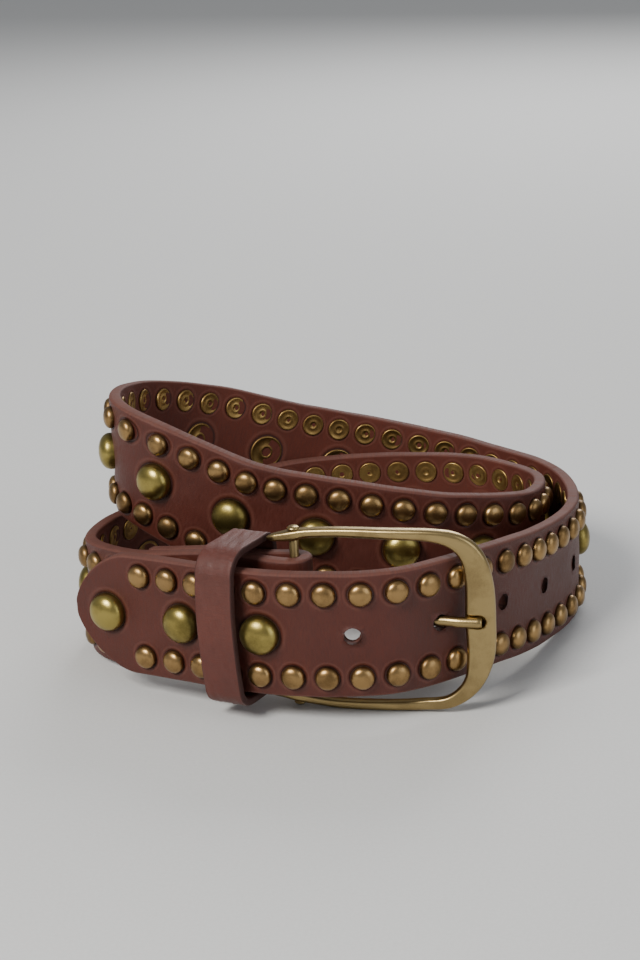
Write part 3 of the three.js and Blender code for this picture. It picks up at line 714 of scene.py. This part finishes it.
heel_centre = find_heel()
BUCKLE_X = unit(heel_centre - bar_centre)
BUCKLE_Z = np.cross(BUCKLE_X, UP)


def from_buckle(points):
    points = np.asarray(points)
    return bar_centre + points[..., :1] * BUCKLE_X + points[..., 1:2] * UP + points[..., 2:] * BUCKLE_Z


def to_buckle(point):
    step = np.asarray(point) - bar_centre
    return np.array([step @ BUCKLE_X, step @ UP, step @ BUCKLE_Z])


print("bar centre in mm:", np.round(bar_centre / MM, 1), "heel:", np.round(heel_centre / MM, 1))

# %% The frame's shape
# along: share of HEEL_REACH. rise: share of LEG_HEIGHT. bow: share of FRAME_BOW.
# wide: share of HEEL_WIDTH. deep: share of FRAME_DEPTH.
FRAME_ROWS = [
    dict(along=-0.15, rise=0.9, bow=0, wide=0.2, deep=0.55),
    dict(along=-0.08, rise=0.92, bow=0, wide=0.3, deep=0.85),
    dict(along=0, rise=UPPER_LEG_AT_BAR, bow=0, wide=LEG_SHARE_AT_BAR, deep=1.1),
    dict(along=0.08, rise=0.975, bow=0.15, wide=0.32, deep=0.95),
    dict(along=0.26, rise=1, bow=0.55, wide=0.32, deep=0.95),
    dict(along=0.52, rise=1, bow=1, wide=0.37, deep=1),
    dict(along=0.74, rise=0.99, bow=1, wide=0.42, deep=1),
    dict(along=0.875, rise=0.915, bow=0.75, wide=0.6, deep=1),
    dict(along=0.96, rise=0.73, bow=0.4, wide=0.8, deep=1),
    dict(along=0.995, rise=0.42, bow=0.1, wide=0.93, deep=1),
    dict(along=1, rise=0, bow=0, wide=1, deep=1),
    dict(along=1, rise=-0.4, bow=0.3, wide=0.9, deep=1),
    dict(along=0.955, rise=-0.71, bow=0.9, wide=0.62, deep=0.95),
    dict(along=0.84, rise=-0.91, bow=1.2, wide=0.44, deep=0.85),
    dict(along=0.68, rise=-0.96, bow=1, wide=0.38, deep=0.9),
    dict(along=0.5, rise=-0.98, bow=1, wide=0.35, deep=0.9),
    dict(along=0.25, rise=-0.99, bow=0.55, wide=0.33, deep=0.95),
    dict(along=0.08, rise=-0.965, bow=0.15, wide=0.32, deep=0.95),
    dict(along=0, rise=-LOWER_LEG_AT_BAR, bow=0, wide=LEG_SHARE_AT_BAR, deep=1.1),
    dict(along=-0.09, rise=-0.91, bow=0, wide=0.28, deep=0.75),
    dict(along=-0.18, rise=-0.9, bow=0, wide=0.18, deep=0.5),
]
# The section of the frame: across from the inner edge (-1) to the outer one (1), and depth (1 is the
# front). The ridge lies nearer to the inner edge, and a bright bevel falls from it to the window.
FRAME_SECTION = [
    (-1, -0.1), (-0.99, 0.08), (-0.9, 0.3), (-0.6, 0.66), (-0.3, 0.96), (-0.22, 1.0), (-0.1, 0.99),
    (0.2, 0.93), (0.55, 0.8), (0.82, 0.56), (0.96, 0.2), (1, -0.15), (0.95, -0.5), (0.8, -0.82),
    (0.45, -0.98), (0, -1), (-0.45, -0.98), (-0.8, -0.82), (-0.96, -0.45),
]
SECTION_STEPS = 76
FRAME_STEPS = 380
NOTCH_ROOM = 0.45 * MM
NOTCH_HALF = TONGUE_WIDTH / 2 + NOTCH_ROOM
NOTCH_PAST = 1.2 * MM
CAP_STEPS = 6


def frame_shares():
    """Steps along the frame, closer together at the heel's middle, where the notch is."""
    even = np.linspace(-1, 1, FRAME_STEPS + 1)
    return 0.5 + 0.5 * (0.35 * even + 0.65 * even**3)


def carve_notch(points):
    """Sinks a round channel for the tongue into the front of the heel."""
    end = HEEL_REACH + TONGUE_OVERLAP + NOTCH_PAST - NOTCH_HALF
    past = np.maximum(points[..., 0] - end, 0)
    distance = np.hypot(past, points[..., 1])
    depth = np.sqrt(np.maximum(NOTCH_HALF**2 - distance**2, 0))
    channel = FRAME_DEPTH / 2 - NOTCH_DEPTH + TONGUE_WIDTH / 2 - depth
    inside = (distance < NOTCH_HALF) & (points[..., 0] > HEEL_REACH / 2)
    points[..., 2] = np.where(inside & (points[..., 2] > channel), channel, points[..., 2])
    return points


def build_frame():
    table = np.array([[row[key] for key in ("along", "rise", "bow", "wide", "deep")] for row in FRAME_ROWS])
    shares = frame_shares()
    fine = spline(table, shares)
    middle = fine[:, :3] * [HEEL_REACH, LEG_HEIGHT, FRAME_BOW]
    to_end = np.minimum(np.arange(len(shares)), np.arange(len(shares))[::-1]) / CAP_STEPS
    cap = np.sqrt(0.1 + 0.9 * (1 - np.clip(1 - to_end, 0, 1) ** 2))
    wide = fine[:, 3] * HEEL_WIDTH / 2 * cap
    deep = fine[:, 4] * FRAME_DEPTH / 2 * cap
    heading = unit(np.gradient(middle, shares, axis=0))
    outer = unit(np.stack([-heading[:, 1], heading[:, 0], 0 * heading[:, 0]], -1))
    front = np.cross(outer, heading)
    corners = np.array(FRAME_SECTION + FRAME_SECTION[:1])
    section = spline(corners, np.linspace(0, 1, SECTION_STEPS + 1)[:-1])
    points = (middle[:, None] + outer[:, None] * (wide[:, None] * section[:, 0])[..., None]
              + front[:, None] * (deep[:, None] * section[:, 1])[..., None])
    points = carve_notch(points)
    faces = [tuple(face)[::-1] for face in grid_faces(len(points), len(section))]
    last = (len(points) - 1) * len(section)
    faces += [tuple(range(len(section))), tuple(last + i for i in range(len(section)))[::-1]]
    return add_mesh("buckle_casting", from_buckle(points.reshape(-1, 3)), faces)


buckle_casting = build_frame()

# %% The bar and the tongue
BAR_NECK = 2.2 * MM
BAR_HEAD = 3.8 * MM
ROD_SIDES = 20
TONGUE_RISE = 0.6
TONGUE_BOW = 0.35 * MM
EYE_WALL = 1.7 * MM
PIN_STEPS = 60
PIN_SIDES = 18
EYE_STEPS = 28
EYE_SIDES = 10
PIN_END_SHARE = 0.9
PIN_END_STEPS = 1.2


def build_bar():
    half_leg = LEG_SHARE_AT_BAR * HEEL_WIDTH / 2
    upper = UPPER_LEG_AT_BAR * LEG_HEIGHT + half_leg
    lower = LOWER_LEG_AT_BAR * LEG_HEIGHT + half_leg
    profile = [
        (0.4 * BAR_HEAD, -lower - BAR_HEAD_HEIGHT), (BAR_HEAD / 2, -lower - 0.5 * BAR_HEAD_HEIGHT),
        (BAR_HEAD / 2, -lower - 0.1 * MM), (BAR_NECK / 2, -lower + 0.2 * MM), (BAR_NECK / 2, -lower + 3 * MM),
        (BAR_WIDTH / 2, -lower + 3.6 * MM), (BAR_WIDTH / 2, upper - 3.6 * MM), (BAR_NECK / 2, upper - 3 * MM),
        (BAR_NECK / 2, upper - 0.2 * MM), (BAR_HEAD / 2, upper + 0.1 * MM),
        (BAR_HEAD / 2, upper + 0.45 * BAR_HEAD_HEIGHT), (0.36 * BAR_HEAD, upper + BAR_HEAD_HEIGHT)]
    points, faces = spin(profile, ROD_SIDES)
    foot = len(points)
    points = np.vstack([points, [[0, 0, profile[0][1]]]])
    faces += [((i + 1) % ROD_SIDES, i, foot) for i in range(ROD_SIDES)]
    turned = np.stack([points[:, 0], points[:, 2], -points[:, 1]], -1)
    return add_mesh("buckle_rod", from_buckle(turned), faces)


def build_tongue():
    hole = to_buckle(route.at(np.array([HOLE_STATION]))[0][0])
    end = HEEL_REACH + TONGUE_OVERLAP
    seat_z = FRAME_DEPTH / 2 - NOTCH_DEPTH + TONGUE_WIDTH / 2
    eye = BAR_WIDTH / 2 + SEAT + EYE_WALL
    line = np.array([[eye - EYE_WALL / 2, 0, 0], [hole[0] / 2, 0, hole[2] * TONGUE_RISE], [hole[0], 0, hole[2]],
                     [(hole[0] + end) / 2, 0, (hole[2] + seat_z) / 2 + TONGUE_BOW], [end, 0, seat_z]])
    shares = np.linspace(0, 1, PIN_STEPS + 1)
    middle = spline(line, shares)
    heading = unit(np.gradient(middle, axis=0))
    side = np.array([0, 1.0, 0])
    out = np.cross(heading, side)
    angle = np.arange(PIN_SIDES) * 2 * math.pi / PIN_SIDES
    swell = TONGUE_WIDTH / 2 * np.where(shares > 1 - PIN_END_STEPS / PIN_STEPS, PIN_END_SHARE, 1)
    ring = (side * np.cos(angle)[:, None])[None] + out[:, None] * np.sin(angle)[None, :, None]
    points = middle[:, None] + ring * swell[:, None, None]
    faces = [tuple(face) for face in grid_faces(PIN_STEPS + 1, PIN_SIDES)]
    last = PIN_STEPS * PIN_SIDES
    faces += [tuple(range(PIN_SIDES))[::-1], tuple(last + i for i in range(PIN_SIDES))]
    points = points.reshape(-1, 3)
    turn = np.arange(EYE_STEPS) * 2 * math.pi / EYE_STEPS
    small = np.arange(EYE_SIDES) * 2 * math.pi / EYE_SIDES
    eye_mid = BAR_WIDTH / 2 + SEAT + EYE_WALL / 2
    loop = [[(eye_mid + EYE_WALL / 2 * math.cos(b)) * math.cos(a), TONGUE_WIDTH / 2 * math.sin(b),
             (eye_mid + EYE_WALL / 2 * math.cos(b)) * math.sin(a)] for a in turn for b in small]
    first = len(points)
    loop_faces = []
    for i in range(EYE_STEPS):
        here, there = first + i * EYE_SIDES, first + (i + 1) % EYE_STEPS * EYE_SIDES
        for j in range(EYE_SIDES):
            beside = (j + 1) % EYE_SIDES
            loop_faces.append((here + j, here + beside, there + beside, there + j))
    return add_mesh("buckle_pin", from_buckle(np.vstack([points, loop])), faces + loop_faces)


buckle_rod = build_bar()
buckle_pin = build_tongue()
buckle_pieces = (buckle_casting, buckle_rod, buckle_pin)
print("faces of the buckle's pieces:", [len(piece.data.polygons) for piece in buckle_pieces])

# %% [markdown]
# ## The keeper
# The keeper is a short band of thinner leather, stitched or riveted into a loop where nobody sees
# it. It bulges forward a little, and its raw edges stay rough. Its section goes round the two
# layers of strap; sweeping a rounded strip round that outline keeps the wall's thickness even.

# %% The keeper's loop
KEEPER_WIDTH = 12.5 * MM
KEEPER_LEATHER = 2.2 * MM
KEEPER_TO_BAR = 17.5 * MM
KEEPER_HEADROOM = 4 * MM
KEEPER_FOOT = 1.6 * MM
KEEPER_BULGE = 1.3 * MM
KEEPER_CORNER = 3 * MM
KEEPER_SLACK = 1.7 * MM
FRONT_TOP_CORNER = 7.2 * MM
FRONT_FOOT_CORNER = 5 * MM


def keeper_outline():
    """The middle of the keeper's wall, seen along the strap: outwards and up."""
    grow = KEEPER_LEATHER / 2
    front = SKIN + SMALL_HEIGHT + SEAT + grow
    back = -(LAYER_PITCH + FREE_END_SLACK + PLIES_APART + SKIN + KEEPER_SLACK + grow)
    top = HALF + KEEPER_HEADROOM + grow
    foot = -(HALF + KEEPER_FOOT + grow)
    corner = KEEPER_CORNER + grow
    line = []

    def arc(x, y, start, radius):
        for a in start + np.linspace(0, math.pi / 2, 12):
            line.append((x + radius * math.cos(a), y + radius * math.sin(a)))

    def run(start, end, steps, bulge=0.0):
        for share in np.linspace(0, 1, steps)[1:-1]:
            out = 4 * bulge * share * (1 - share)
            line.append((start[0] + share * (end[0] - start[0]) + out, start[1] + share * (end[1] - start[1])))

    low, high = foot + FRONT_FOOT_CORNER, top - FRONT_TOP_CORNER
    arc(front - FRONT_FOOT_CORNER, low, -math.pi / 2, FRONT_FOOT_CORNER)
    run((front, low), (front, high), 30, KEEPER_BULGE)
    arc(front - FRONT_TOP_CORNER, high, 0, FRONT_TOP_CORNER)
    run((front - FRONT_TOP_CORNER, top), (back + corner, top), 14)
    arc(back + corner, top - corner, math.pi / 2, corner)
    run((back, top - corner), (back, foot + corner), 26)
    arc(back + corner, foot + corner, math.pi, corner)
    run((back + corner, foot), (front - FRONT_FOOT_CORNER, foot), 14)
    return np.array(line)


KEEPER_COLUMNS = 15
KEEPER_ROUNDING = 0.5 * MM
KEEPER_ROUND_STEPS = 3
KEEPER_WAVE = 0.14 * MM
KEEPER_SWAY = 0.2 * MM


def build_keeper():
    line = keeper_outline()
    heading = unit(np.roll(line, -1, 0) - np.roll(line, 1, 0))
    outer = np.stack([heading[:, 1], -heading[:, 0]], -1)
    length = np.concatenate([[0], np.cumsum(np.linalg.norm(np.diff(line, axis=0), axis=1))])
    round_off = KEEPER_ROUNDING
    angle = np.linspace(0, math.pi / 2, KEEPER_ROUND_STEPS + 1)[1:]
    flat = np.linspace(-1, 1, KEEPER_COLUMNS) * (KEEPER_WIDTH / 2 - round_off)
    half = KEEPER_LEATHER / 2
    columns = [(c, half, 1) for c in flat]
    flat_end = KEEPER_WIDTH / 2 - round_off
    columns += [(flat_end + round_off * math.sin(a), half - round_off * (1 - math.cos(a)), 0) for a in angle]
    columns += [(c, -h, 0) for c, h, _ in columns[-1:KEEPER_COLUMNS - 1:-1]]
    columns += [(c, -half, -1) for c in flat[::-1]]
    side = [(-c, h, 0) for c, h, _ in columns[KEEPER_COLUMNS:KEEPER_COLUMNS + 2 * KEEPER_ROUND_STEPS]][::-1]
    columns += side
    across, depth, face = np.array(columns).T
    centre, along, upward, outward = (v[0] for v in route.at(np.array([BAR_STATION - KEEPER_TO_BAR])))
    wave = KEEPER_WAVE * ripple(length[:, None], across[None] * 3, seed=31, lengths=(4 * MM, 11 * MM))
    reach = depth[None] + np.where(face[None] > 0, wave, 0)
    flat_points = line[:, None] + outer[:, None] * reach[..., None]
    lean = KEEPER_SWAY * ripple(length, 0 * length, seed=37, lengths=(20 * MM, 40 * MM))[:, None]
    points = (centre + outward * flat_points[..., :1] + upward * flat_points[..., 1:]
              + along * (across[None] + lean)[..., None])
    rows_count, width = len(line), len(columns)
    faces = [tuple(f) for f in grid_faces(rows_count, width)]
    last = (rows_count - 1) * width
    faces += [(last + c, last + (c + 1) % width, (c + 1) % width, c) for c in range(width)]
    values = dict(station=np.repeat(length, width) / MM, across=np.tile(across, rows_count) / MM,
                  face=np.tile(face, rows_count))
    return add_mesh("keeper_band", points.reshape(-1, 3), [f[::-1] for f in faces], values)


keeper_band = build_keeper()
print("keeper faces:", len(keeper_band.data.polygons))

# %% [markdown]
# ## Building materials from small parts
# The same leather covers the strap and the keeper, and the same tarnish lies on every brass piece.
# So each effect is a node group with named inputs, built once, and each material gives it its own
# values. Two short helpers keep the wiring readable.

# %% Helpers for node trees
def paint(code):
    """A colour written as a six-digit code, as the linear values that nodes work with."""
    parts = [int(code[i:i + 2], 16) / 255 for i in (0, 2, 4)]
    return (*[p / 12.92 if p <= 0.04045 else ((p + 0.055) / 1.055) ** 2.4 for p in parts], 1)


def add_node(tree, kind, inputs=None, **settings):
    node = tree.nodes.new(kind)
    for key, value in settings.items():
        setattr(node, key, value)
    for key, value in (inputs or {}).items():
        if isinstance(value, bpy.types.NodeSocket):
            tree.links.new(value, node.inputs[key])
        else:
            node.inputs[key].default_value = value
    return node


def calc(tree, operation, *values, clamp=False):
    node = add_node(tree, "ShaderNodeMath", dict(enumerate(values)), operation=operation, use_clamp=clamp)
    return node.outputs[0]


def blend(tree, factor, first, second, mode="MIX"):
    node = add_node(tree, "ShaderNodeMix", {0: factor, 6: first, 7: second}, data_type="RGBA", blend_type=mode)
    return node.outputs[2]


def stretch(tree, value, low, high, start=0.0, end=1.0):
    inputs = {"Value": value, "From Min": low, "From Max": high, "To Min": start, "To Max": end}
    node = add_node(tree, "ShaderNodeMapRange", inputs, clamp=True, interpolation_type="SMOOTHSTEP")
    return node.outputs[0]


def stored(tree, name):
    return add_node(tree, "ShaderNodeAttribute", attribute_name=name).outputs["Fac"]


def new_group(name, inputs, outputs):
    group = bpy.data.node_groups.new(name, "ShaderNodeTree")
    for label, kind, value in inputs:
        socket = group.interface.new_socket(label, in_out="INPUT", socket_type=kind)
        socket.default_value = value
    for label, kind in outputs:
        group.interface.new_socket(label, in_out="OUTPUT", socket_type=kind)
    return group, group.nodes.new("NodeGroupInput").outputs, group.nodes.new("NodeGroupOutput").inputs


def use_group(tree, group, **inputs):
    node = tree.nodes.new("ShaderNodeGroup")
    node.node_tree = group
    for key, value in inputs.items():
        label = key.replace("_", " ").capitalize()
        if isinstance(value, bpy.types.NodeSocket):
            tree.links.new(value, node.inputs[label])
        else:
            node.inputs[label].default_value = value
    return node.outputs


NUMBER = "NodeSocketFloat"
COLOUR = "NodeSocketColor"

# %% [markdown]
# ## The hide
# Strap leather has three scales of detail: slow clouds of tone, fine lines that run across the
# strap where the hide was rolled, and pores. The group works in the strap's own coordinates, in
# millimetres, so that the lines stay upright on every turn of the coil.

# %% A group for the hide
def build_hide():
    group, given, result = new_group(
        "hide",
        [("Station", NUMBER, 0), ("Across", NUMBER, 0), ("Lines", NUMBER, 1), ("Pores", NUMBER, 1)],
        [("Tone", NUMBER), ("Height", NUMBER), ("Rough", NUMBER)])
    place = add_node(group, "ShaderNodeCombineXYZ", {0: given["Station"], 1: given["Across"]}).outputs[0]
    clouds = add_node(group, "ShaderNodeTexNoise", {"Vector": place, "Scale": 0.055, "Detail": 3.0})
    spread = add_node(group, "ShaderNodeVectorMath", {0: place, 1: (1.0, 0.16, 1.0)}, operation="MULTIPLY")
    lines = add_node(group, "ShaderNodeTexNoise",
                     {"Vector": spread.outputs[0], "Scale": 1.8, "Detail": 4.0, "Roughness": 0.65})
    fine = add_node(group, "ShaderNodeTexVoronoi", {"Vector": place, "Scale": 2.2, "Randomness": 1.0},
                    feature="DISTANCE_TO_EDGE")
    speck = add_node(group, "ShaderNodeTexNoise", {"Vector": place, "Scale": 3.5, "Detail": 3.0})
    line_value = calc(group, "MULTIPLY", calc(group, "SUBTRACT", lines.outputs[0], 0.5), given["Lines"])
    pore_value = calc(group, "MULTIPLY", stretch(group, fine.outputs[0], 0.0, 0.12), given["Pores"])
    tone = calc(group, "ADD", stretch(group, clouds.outputs[0], 0.3, 0.72, 0.4, 0.6),
                calc(group, "MULTIPLY", line_value, 1.0))
    speck_value = calc(group, "SUBTRACT", speck.outputs[0], 0.5)
    tone = calc(group, "ADD", tone, calc(group, "MULTIPLY", speck_value, 0.5))
    group.links.new(calc(group, "ADD", tone, 0.0, clamp=True), result["Tone"])
    height = calc(group, "MULTIPLY", line_value, 1.2)
    height = calc(group, "ADD", height, calc(group, "MULTIPLY", pore_value, 0.35))
    height = calc(group, "ADD", height, calc(group, "MULTIPLY", speck.outputs[0], 0.5))
    group.links.new(height, result["Height"])
    group.links.new(stretch(group, calc(group, "ADD", line_value, speck.outputs[0]), 0.2, 0.9), result["Rough"])
    return group


hide = build_hide()

# %% [markdown]
# ## Where the studs press the leather, with painted shade and highlight round them
# Each stud leaves a thin groove where its rim bites, and the leather swells a little outside it. The groove's
# dark colour is painted contact shade, and the swelling's lighter colour is a painted highlight.
# The distance to the closest stud is worked out in the shader from the strap's own coordinates.
# That is sharper than any stored value, because it doesn't depend on how fine the mesh is.

# %% Rings round the studs and holes
def nearest_mark(tree, station, first, gap):
    """Distance along the strap to the closest of evenly spaced marks, and that mark's number."""
    past_first = calc(tree, "SUBTRACT", station, first)
    number = calc(tree, "ROUND", calc(tree, "DIVIDE", past_first, gap))
    distance = calc(tree, "SUBTRACT", past_first, calc(tree, "MULTIPLY", number, gap))
    return distance, number


def length_of(tree, x, y):
    squares = calc(tree, "ADD", calc(tree, "MULTIPLY", x, x), calc(tree, "MULTIPLY", y, y))
    return calc(tree, "SQRT", squares)


def hump(tree, value, middle, width):
    """1 at the middle, falling off smoothly to both sides."""
    step = calc(tree, "DIVIDE", calc(tree, "SUBTRACT", value, middle), width)
    return calc(tree, "EXPONENT", calc(tree, "MULTIPLY", calc(tree, "MULTIPLY", step, step), -1.0))


def stud_rings(tree, station, across):
    """A mask of the grooves at the rims, used for painted contact shade and for relief, and one of the swelling
    outside them, used for a painted highlight and for relief.
    """
    small_x, small_number = nearest_mark(tree, station, TIP_TO_FIRST / MM, PITCH / MM)
    small_y = calc(tree, "SUBTRACT", calc(tree, "ABSOLUTE", across), ROW_HEIGHT / MM)
    small_r = length_of(tree, small_x, small_y)
    small_on = calc(tree, "MULTIPLY", calc(tree, "GREATER_THAN", small_number, -0.5),
                    calc(tree, "LESS_THAN", small_number, len(small_stations) - 0.5))
    large_x, large_number = nearest_mark(tree, station, TIP_TO_LARGE / MM, LARGE_SPACING / MM)
    large_r = length_of(tree, large_x, across)
    holes = hump(tree, large_number, LARGE_AT_TIP + (HOLE_COUNT - 1) / 2, HOLE_COUNT / 2)
    is_hole = calc(tree, "GREATER_THAN", holes, math.exp(-1))
    large_on = calc(tree, "MULTIPLY", calc(tree, "SUBTRACT", 1.0, is_hole),
                    calc(tree, "LESS_THAN", large_number, len(middle_stations) - 0.5))
    # The dark rings at the studs' rims are painted contact shade; the same dark ring is laid round each hole's
    # rim.
    dark = calc(tree, "MULTIPLY", hump(tree, small_r, SMALL_WIDTH / MM / 2 + 0.05, 0.24), small_on)
    dark = calc(tree, "MAXIMUM", dark,
                calc(tree, "MULTIPLY", hump(tree, large_r, LARGE_WIDTH / MM / 2 + 0.1, 0.4), large_on))
    dark = calc(tree, "MAXIMUM", dark,
                calc(tree, "MULTIPLY", hump(tree, large_r, HOLE_WIDTH / MM / 2, 0.45), is_hole))
    # The swelling's mask also lightens the leather there, as a painted highlight.
    swell = calc(tree, "MULTIPLY", hump(tree, small_r, SMALL_WIDTH / MM / 2 + 0.95, 0.4), small_on)
    swell = calc(tree, "MAXIMUM", swell,
                 calc(tree, "MULTIPLY", hump(tree, large_r, LARGE_WIDTH / MM / 2 + 1.3, 0.6), large_on))
    return dark, swell


# %% [markdown]
# ## Leather materials
# The grain side is smooth and dyed, the flesh side is redder and fuzzy, and the cut edges show the
# undyed middle. One stored value says which side a point is on, and the material blends between
# three looks. Height differences too small for the mesh go through a Bump node.

# %% The strap's leather
def new_material(name):
    material = bpy.data.materials.new(name)
    material.use_nodes = True
    tree = material.node_tree
    return material, tree, tree.nodes["Principled BSDF"]


def leather_material(name, colours, rings, lines, pores):
    material, tree, surface = new_material(name)
    station, across, face = (stored(tree, key) for key in ("station", "across", "face"))
    grain = use_group(tree, hide, station=station, across=across, lines=lines, pores=pores)
    is_grain = stretch(tree, face, 0.05, 0.6)
    is_flesh = stretch(tree, calc(tree, "MULTIPLY", face, -1.0), 0.05, 0.6)
    grain_colour = blend(tree, grain["Tone"], paint(colours["dark"]), paint(colours["light"]))
    flesh_colour = blend(tree, grain["Tone"], paint(colours["flesh_dark"]), paint(colours["flesh_light"]))
    edge_colour = blend(tree, grain["Tone"], paint(colours["edge_dark"]), paint(colours["edge_light"]))
    colour = blend(tree, is_grain, edge_colour, grain_colour)
    colour = blend(tree, is_flesh, colour, flesh_colour)
    height = grain["Height"]
    if rings:
        dark, swell = stud_rings(tree, station, across)
        # Painted contact shade in the grooves at the studs' rims and the same darkening round the holes, then a
        # painted highlight on the swelling outside the studs; the two height lines below add the real relief.
        colour = blend(tree, calc(tree, "MULTIPLY", dark, 0.75), colour, paint(colours["pressed"]))
        colour = blend(tree, calc(tree, "MULTIPLY", swell, 0.28), colour, paint(colours["edge_light"]))
        height = calc(tree, "ADD", height, calc(tree, "MULTIPLY", dark, -1.6))
        height = calc(tree, "ADD", height, calc(tree, "MULTIPLY", swell, 0.8))
    tree.links.new(colour, surface.inputs["Base Color"])
    rough = stretch(tree, grain["Rough"], 0.0, 1.0, 0.42, 0.62)
    fuzzy = calc(tree, "SUBTRACT", 1.0, is_grain)
    rough = calc(tree, "ADD", rough, calc(tree, "MULTIPLY", fuzzy, 0.25), clamp=True)
    tree.links.new(rough, surface.inputs["Roughness"])
    bump = add_node(tree, "ShaderNodeBump", {"Height": height, "Strength": 0.35, "Distance": 0.0003})
    tree.links.new(bump.outputs[0], surface.inputs["Normal"])
    surface.inputs["Specular IOR Level"].default_value = 0.4
    return material


# pressed is the dark colour of the grooves round the studs, painted contact shade; edge_light also serves as
# the painted highlight on the swelling round them.
STRAP_COLOURS = dict(dark="38160f", light="562519", flesh_dark="3c160d", flesh_light="602818",
                     edge_dark="40201a", edge_light="6e4236", pressed="1a0907")
KEEPER_COLOURS = dict(dark="3a1b15", light="653329", flesh_dark="3a1610", flesh_light="64301f",
                      edge_dark="1c0b09", edge_light="48241d", pressed="1a0907")
strap_leather = leather_material("strap_leather", STRAP_COLOURS, rings=True, lines=1.0, pores=0.6)
keeper_leather = leather_material("keeper_leather", KEEPER_COLOURS, rings=False, lines=0.7, pores=1.0)

# %% [markdown]
# ## Brass
# Antique brass is polished where hands reach it and dark in its corners. The group mixes a bright
# and a dull tone with slow clouds and fine specks, and keeps the dull tone near the foot of each
# dome, where a stored value says how high up the dome a point is.

# %% A group for tarnished brass
def build_tarnish():
    group, given, result = new_group(
        "tarnish",
        [("Place", "NodeSocketVector", (0, 0, 0)), ("Rise", NUMBER, 1), ("Tone", NUMBER, 0.5),
         ("Cloud size", NUMBER, 1), ("Bright", COLOUR, (1, 1, 1, 1)), ("Dull", COLOUR, (0, 0, 0, 1)),
         ("Foot", NUMBER, 1)],
        [("Colour", COLOUR), ("Rough", NUMBER), ("Height", NUMBER)])
    scale = calc(group, "DIVIDE", 160.0, given["Cloud size"])
    clouds = add_node(group, "ShaderNodeTexNoise",
                      {"Vector": given["Place"], "Scale": scale, "Detail": 5.0, "Roughness": 0.6})
    specks = add_node(group, "ShaderNodeTexNoise", {"Vector": given["Place"], "Scale": 2600.0, "Detail": 3.0})
    worn = stretch(group, clouds.outputs[0], 0.35, 0.66)
    foot = calc(group, "MULTIPLY", stretch(group, given["Rise"], 0.0, 0.55, 1.0, 0.0), given["Foot"])
    dullness = calc(group, "ADD", calc(group, "MULTIPLY", worn, 0.55), calc(group, "MULTIPLY", foot, 0.6))
    own_tone = calc(group, "SUBTRACT", given["Tone"], 0.5)
    dullness = calc(group, "ADD", dullness, calc(group, "MULTIPLY", own_tone, 0.4))
    speck_share = calc(group, "MULTIPLY", calc(group, "SUBTRACT", specks.outputs[0], 0.5), 0.35)
    dullness = calc(group, "ADD", dullness, speck_share, clamp=True)
    group.links.new(blend(group, dullness, given["Bright"], given["Dull"]), result["Colour"])
    group.links.new(dullness, result["Rough"])
    group.links.new(calc(group, "ADD", calc(group, "MULTIPLY", specks.outputs[0], 0.6),
                         calc(group, "MULTIPLY", clouds.outputs[0], 1.0)), result["Height"])
    return group


tarnish = build_tarnish()


def brass_material(name, bright, dull, cloud_size, foot, smooth, rough, bump):
    material, tree, surface = new_material(name)
    place = add_node(tree, "ShaderNodeTexCoord").outputs["Object"]
    look = use_group(tree, tarnish, place=place, rise=stored(tree, "rise"), tone=stored(tree, "tone"),
                     cloud_size=cloud_size, bright=paint(bright), dull=paint(dull), foot=foot)
    tree.links.new(look["Colour"], surface.inputs["Base Color"])
    tree.links.new(stretch(tree, look["Rough"], 0.0, 1.0, smooth, rough), surface.inputs["Roughness"])
    surface.inputs["Metallic"].default_value = 1.0
    node = add_node(tree, "ShaderNodeBump", {"Height": look["Height"], "Strength": bump, "Distance": 0.0001})
    tree.links.new(node.outputs[0], surface.inputs["Normal"])
    return material


small_brass = brass_material("small_brass", "9f8054", "48331f", 1.0, 1.0, 0.32, 0.48, 0.35)
large_brass = brass_material("large_brass", "a29152", "4d4222", 1.4, 0.8, 0.3, 0.46, 0.35)
back_brass = brass_material("back_brass", "b09158", "6a5130", 1.0, 0.3, 0.38, 0.52, 0.2)
buckle_brass = brass_material("buckle_brass", "a58f62", "54432b", 2.2, 0.0, 0.3, 0.46, 0.45)


def floor_material():
    material, tree, surface = new_material("floor_paper")
    place = add_node(tree, "ShaderNodeTexCoord").outputs["Object"]
    grain = add_node(tree, "ShaderNodeTexNoise", {"Vector": place, "Scale": 900.0, "Detail": 2.0})
    colour = blend(tree, grain.outputs[0], paint("c9c9c8"), paint("d3d3d2"))
    tree.links.new(colour, surface.inputs["Base Color"])
    surface.inputs["Roughness"].default_value = 0.85
    return material


def build_floor(reach=8.0):
    corners = [(-reach, -reach, 0), (reach, -reach, 0), (reach, reach, 0), (-reach, reach, 0)]
    floor = add_mesh("floor", corners, [(0, 1, 2, 3)], smooth=False)
    floor.data.materials.append(floor_material())


build_floor()

# %% [markdown]
# ## Putting the pieces in place
# Each new piece takes its material and rides on the belt's one rigid body, and the plain solids it stands for,
# where there are any, are then hidden, but they stay in the file for weight and collision.

# %% Materials, riding and replacing
def dress(piece, material, slot, *nodes):
    piece.data.materials.append(material)
    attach(piece, "root")
    if nodes:
        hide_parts(*nodes)


dress(strap_band, strap_leather, "strap_leather", "strap")
dress(small_studs, small_brass, "stud_metal")
dress(small_backs, back_brass, "stud_metal")
dress(large_backs, back_brass, "stud_metal")
for stud, node in large_studs:
    dress(stud, large_brass, "stud_metal", node)
dress(keeper_band, keeper_leather, "keeper_leather", "keeper_loop")
dress(buckle_casting, buckle_brass, "buckle_metal", "buckle_frame")
dress(buckle_rod, buckle_brass, "buckle_metal", "buckle_bar")
dress(buckle_pin, buckle_brass, "buckle_metal", "buckle_tongue")
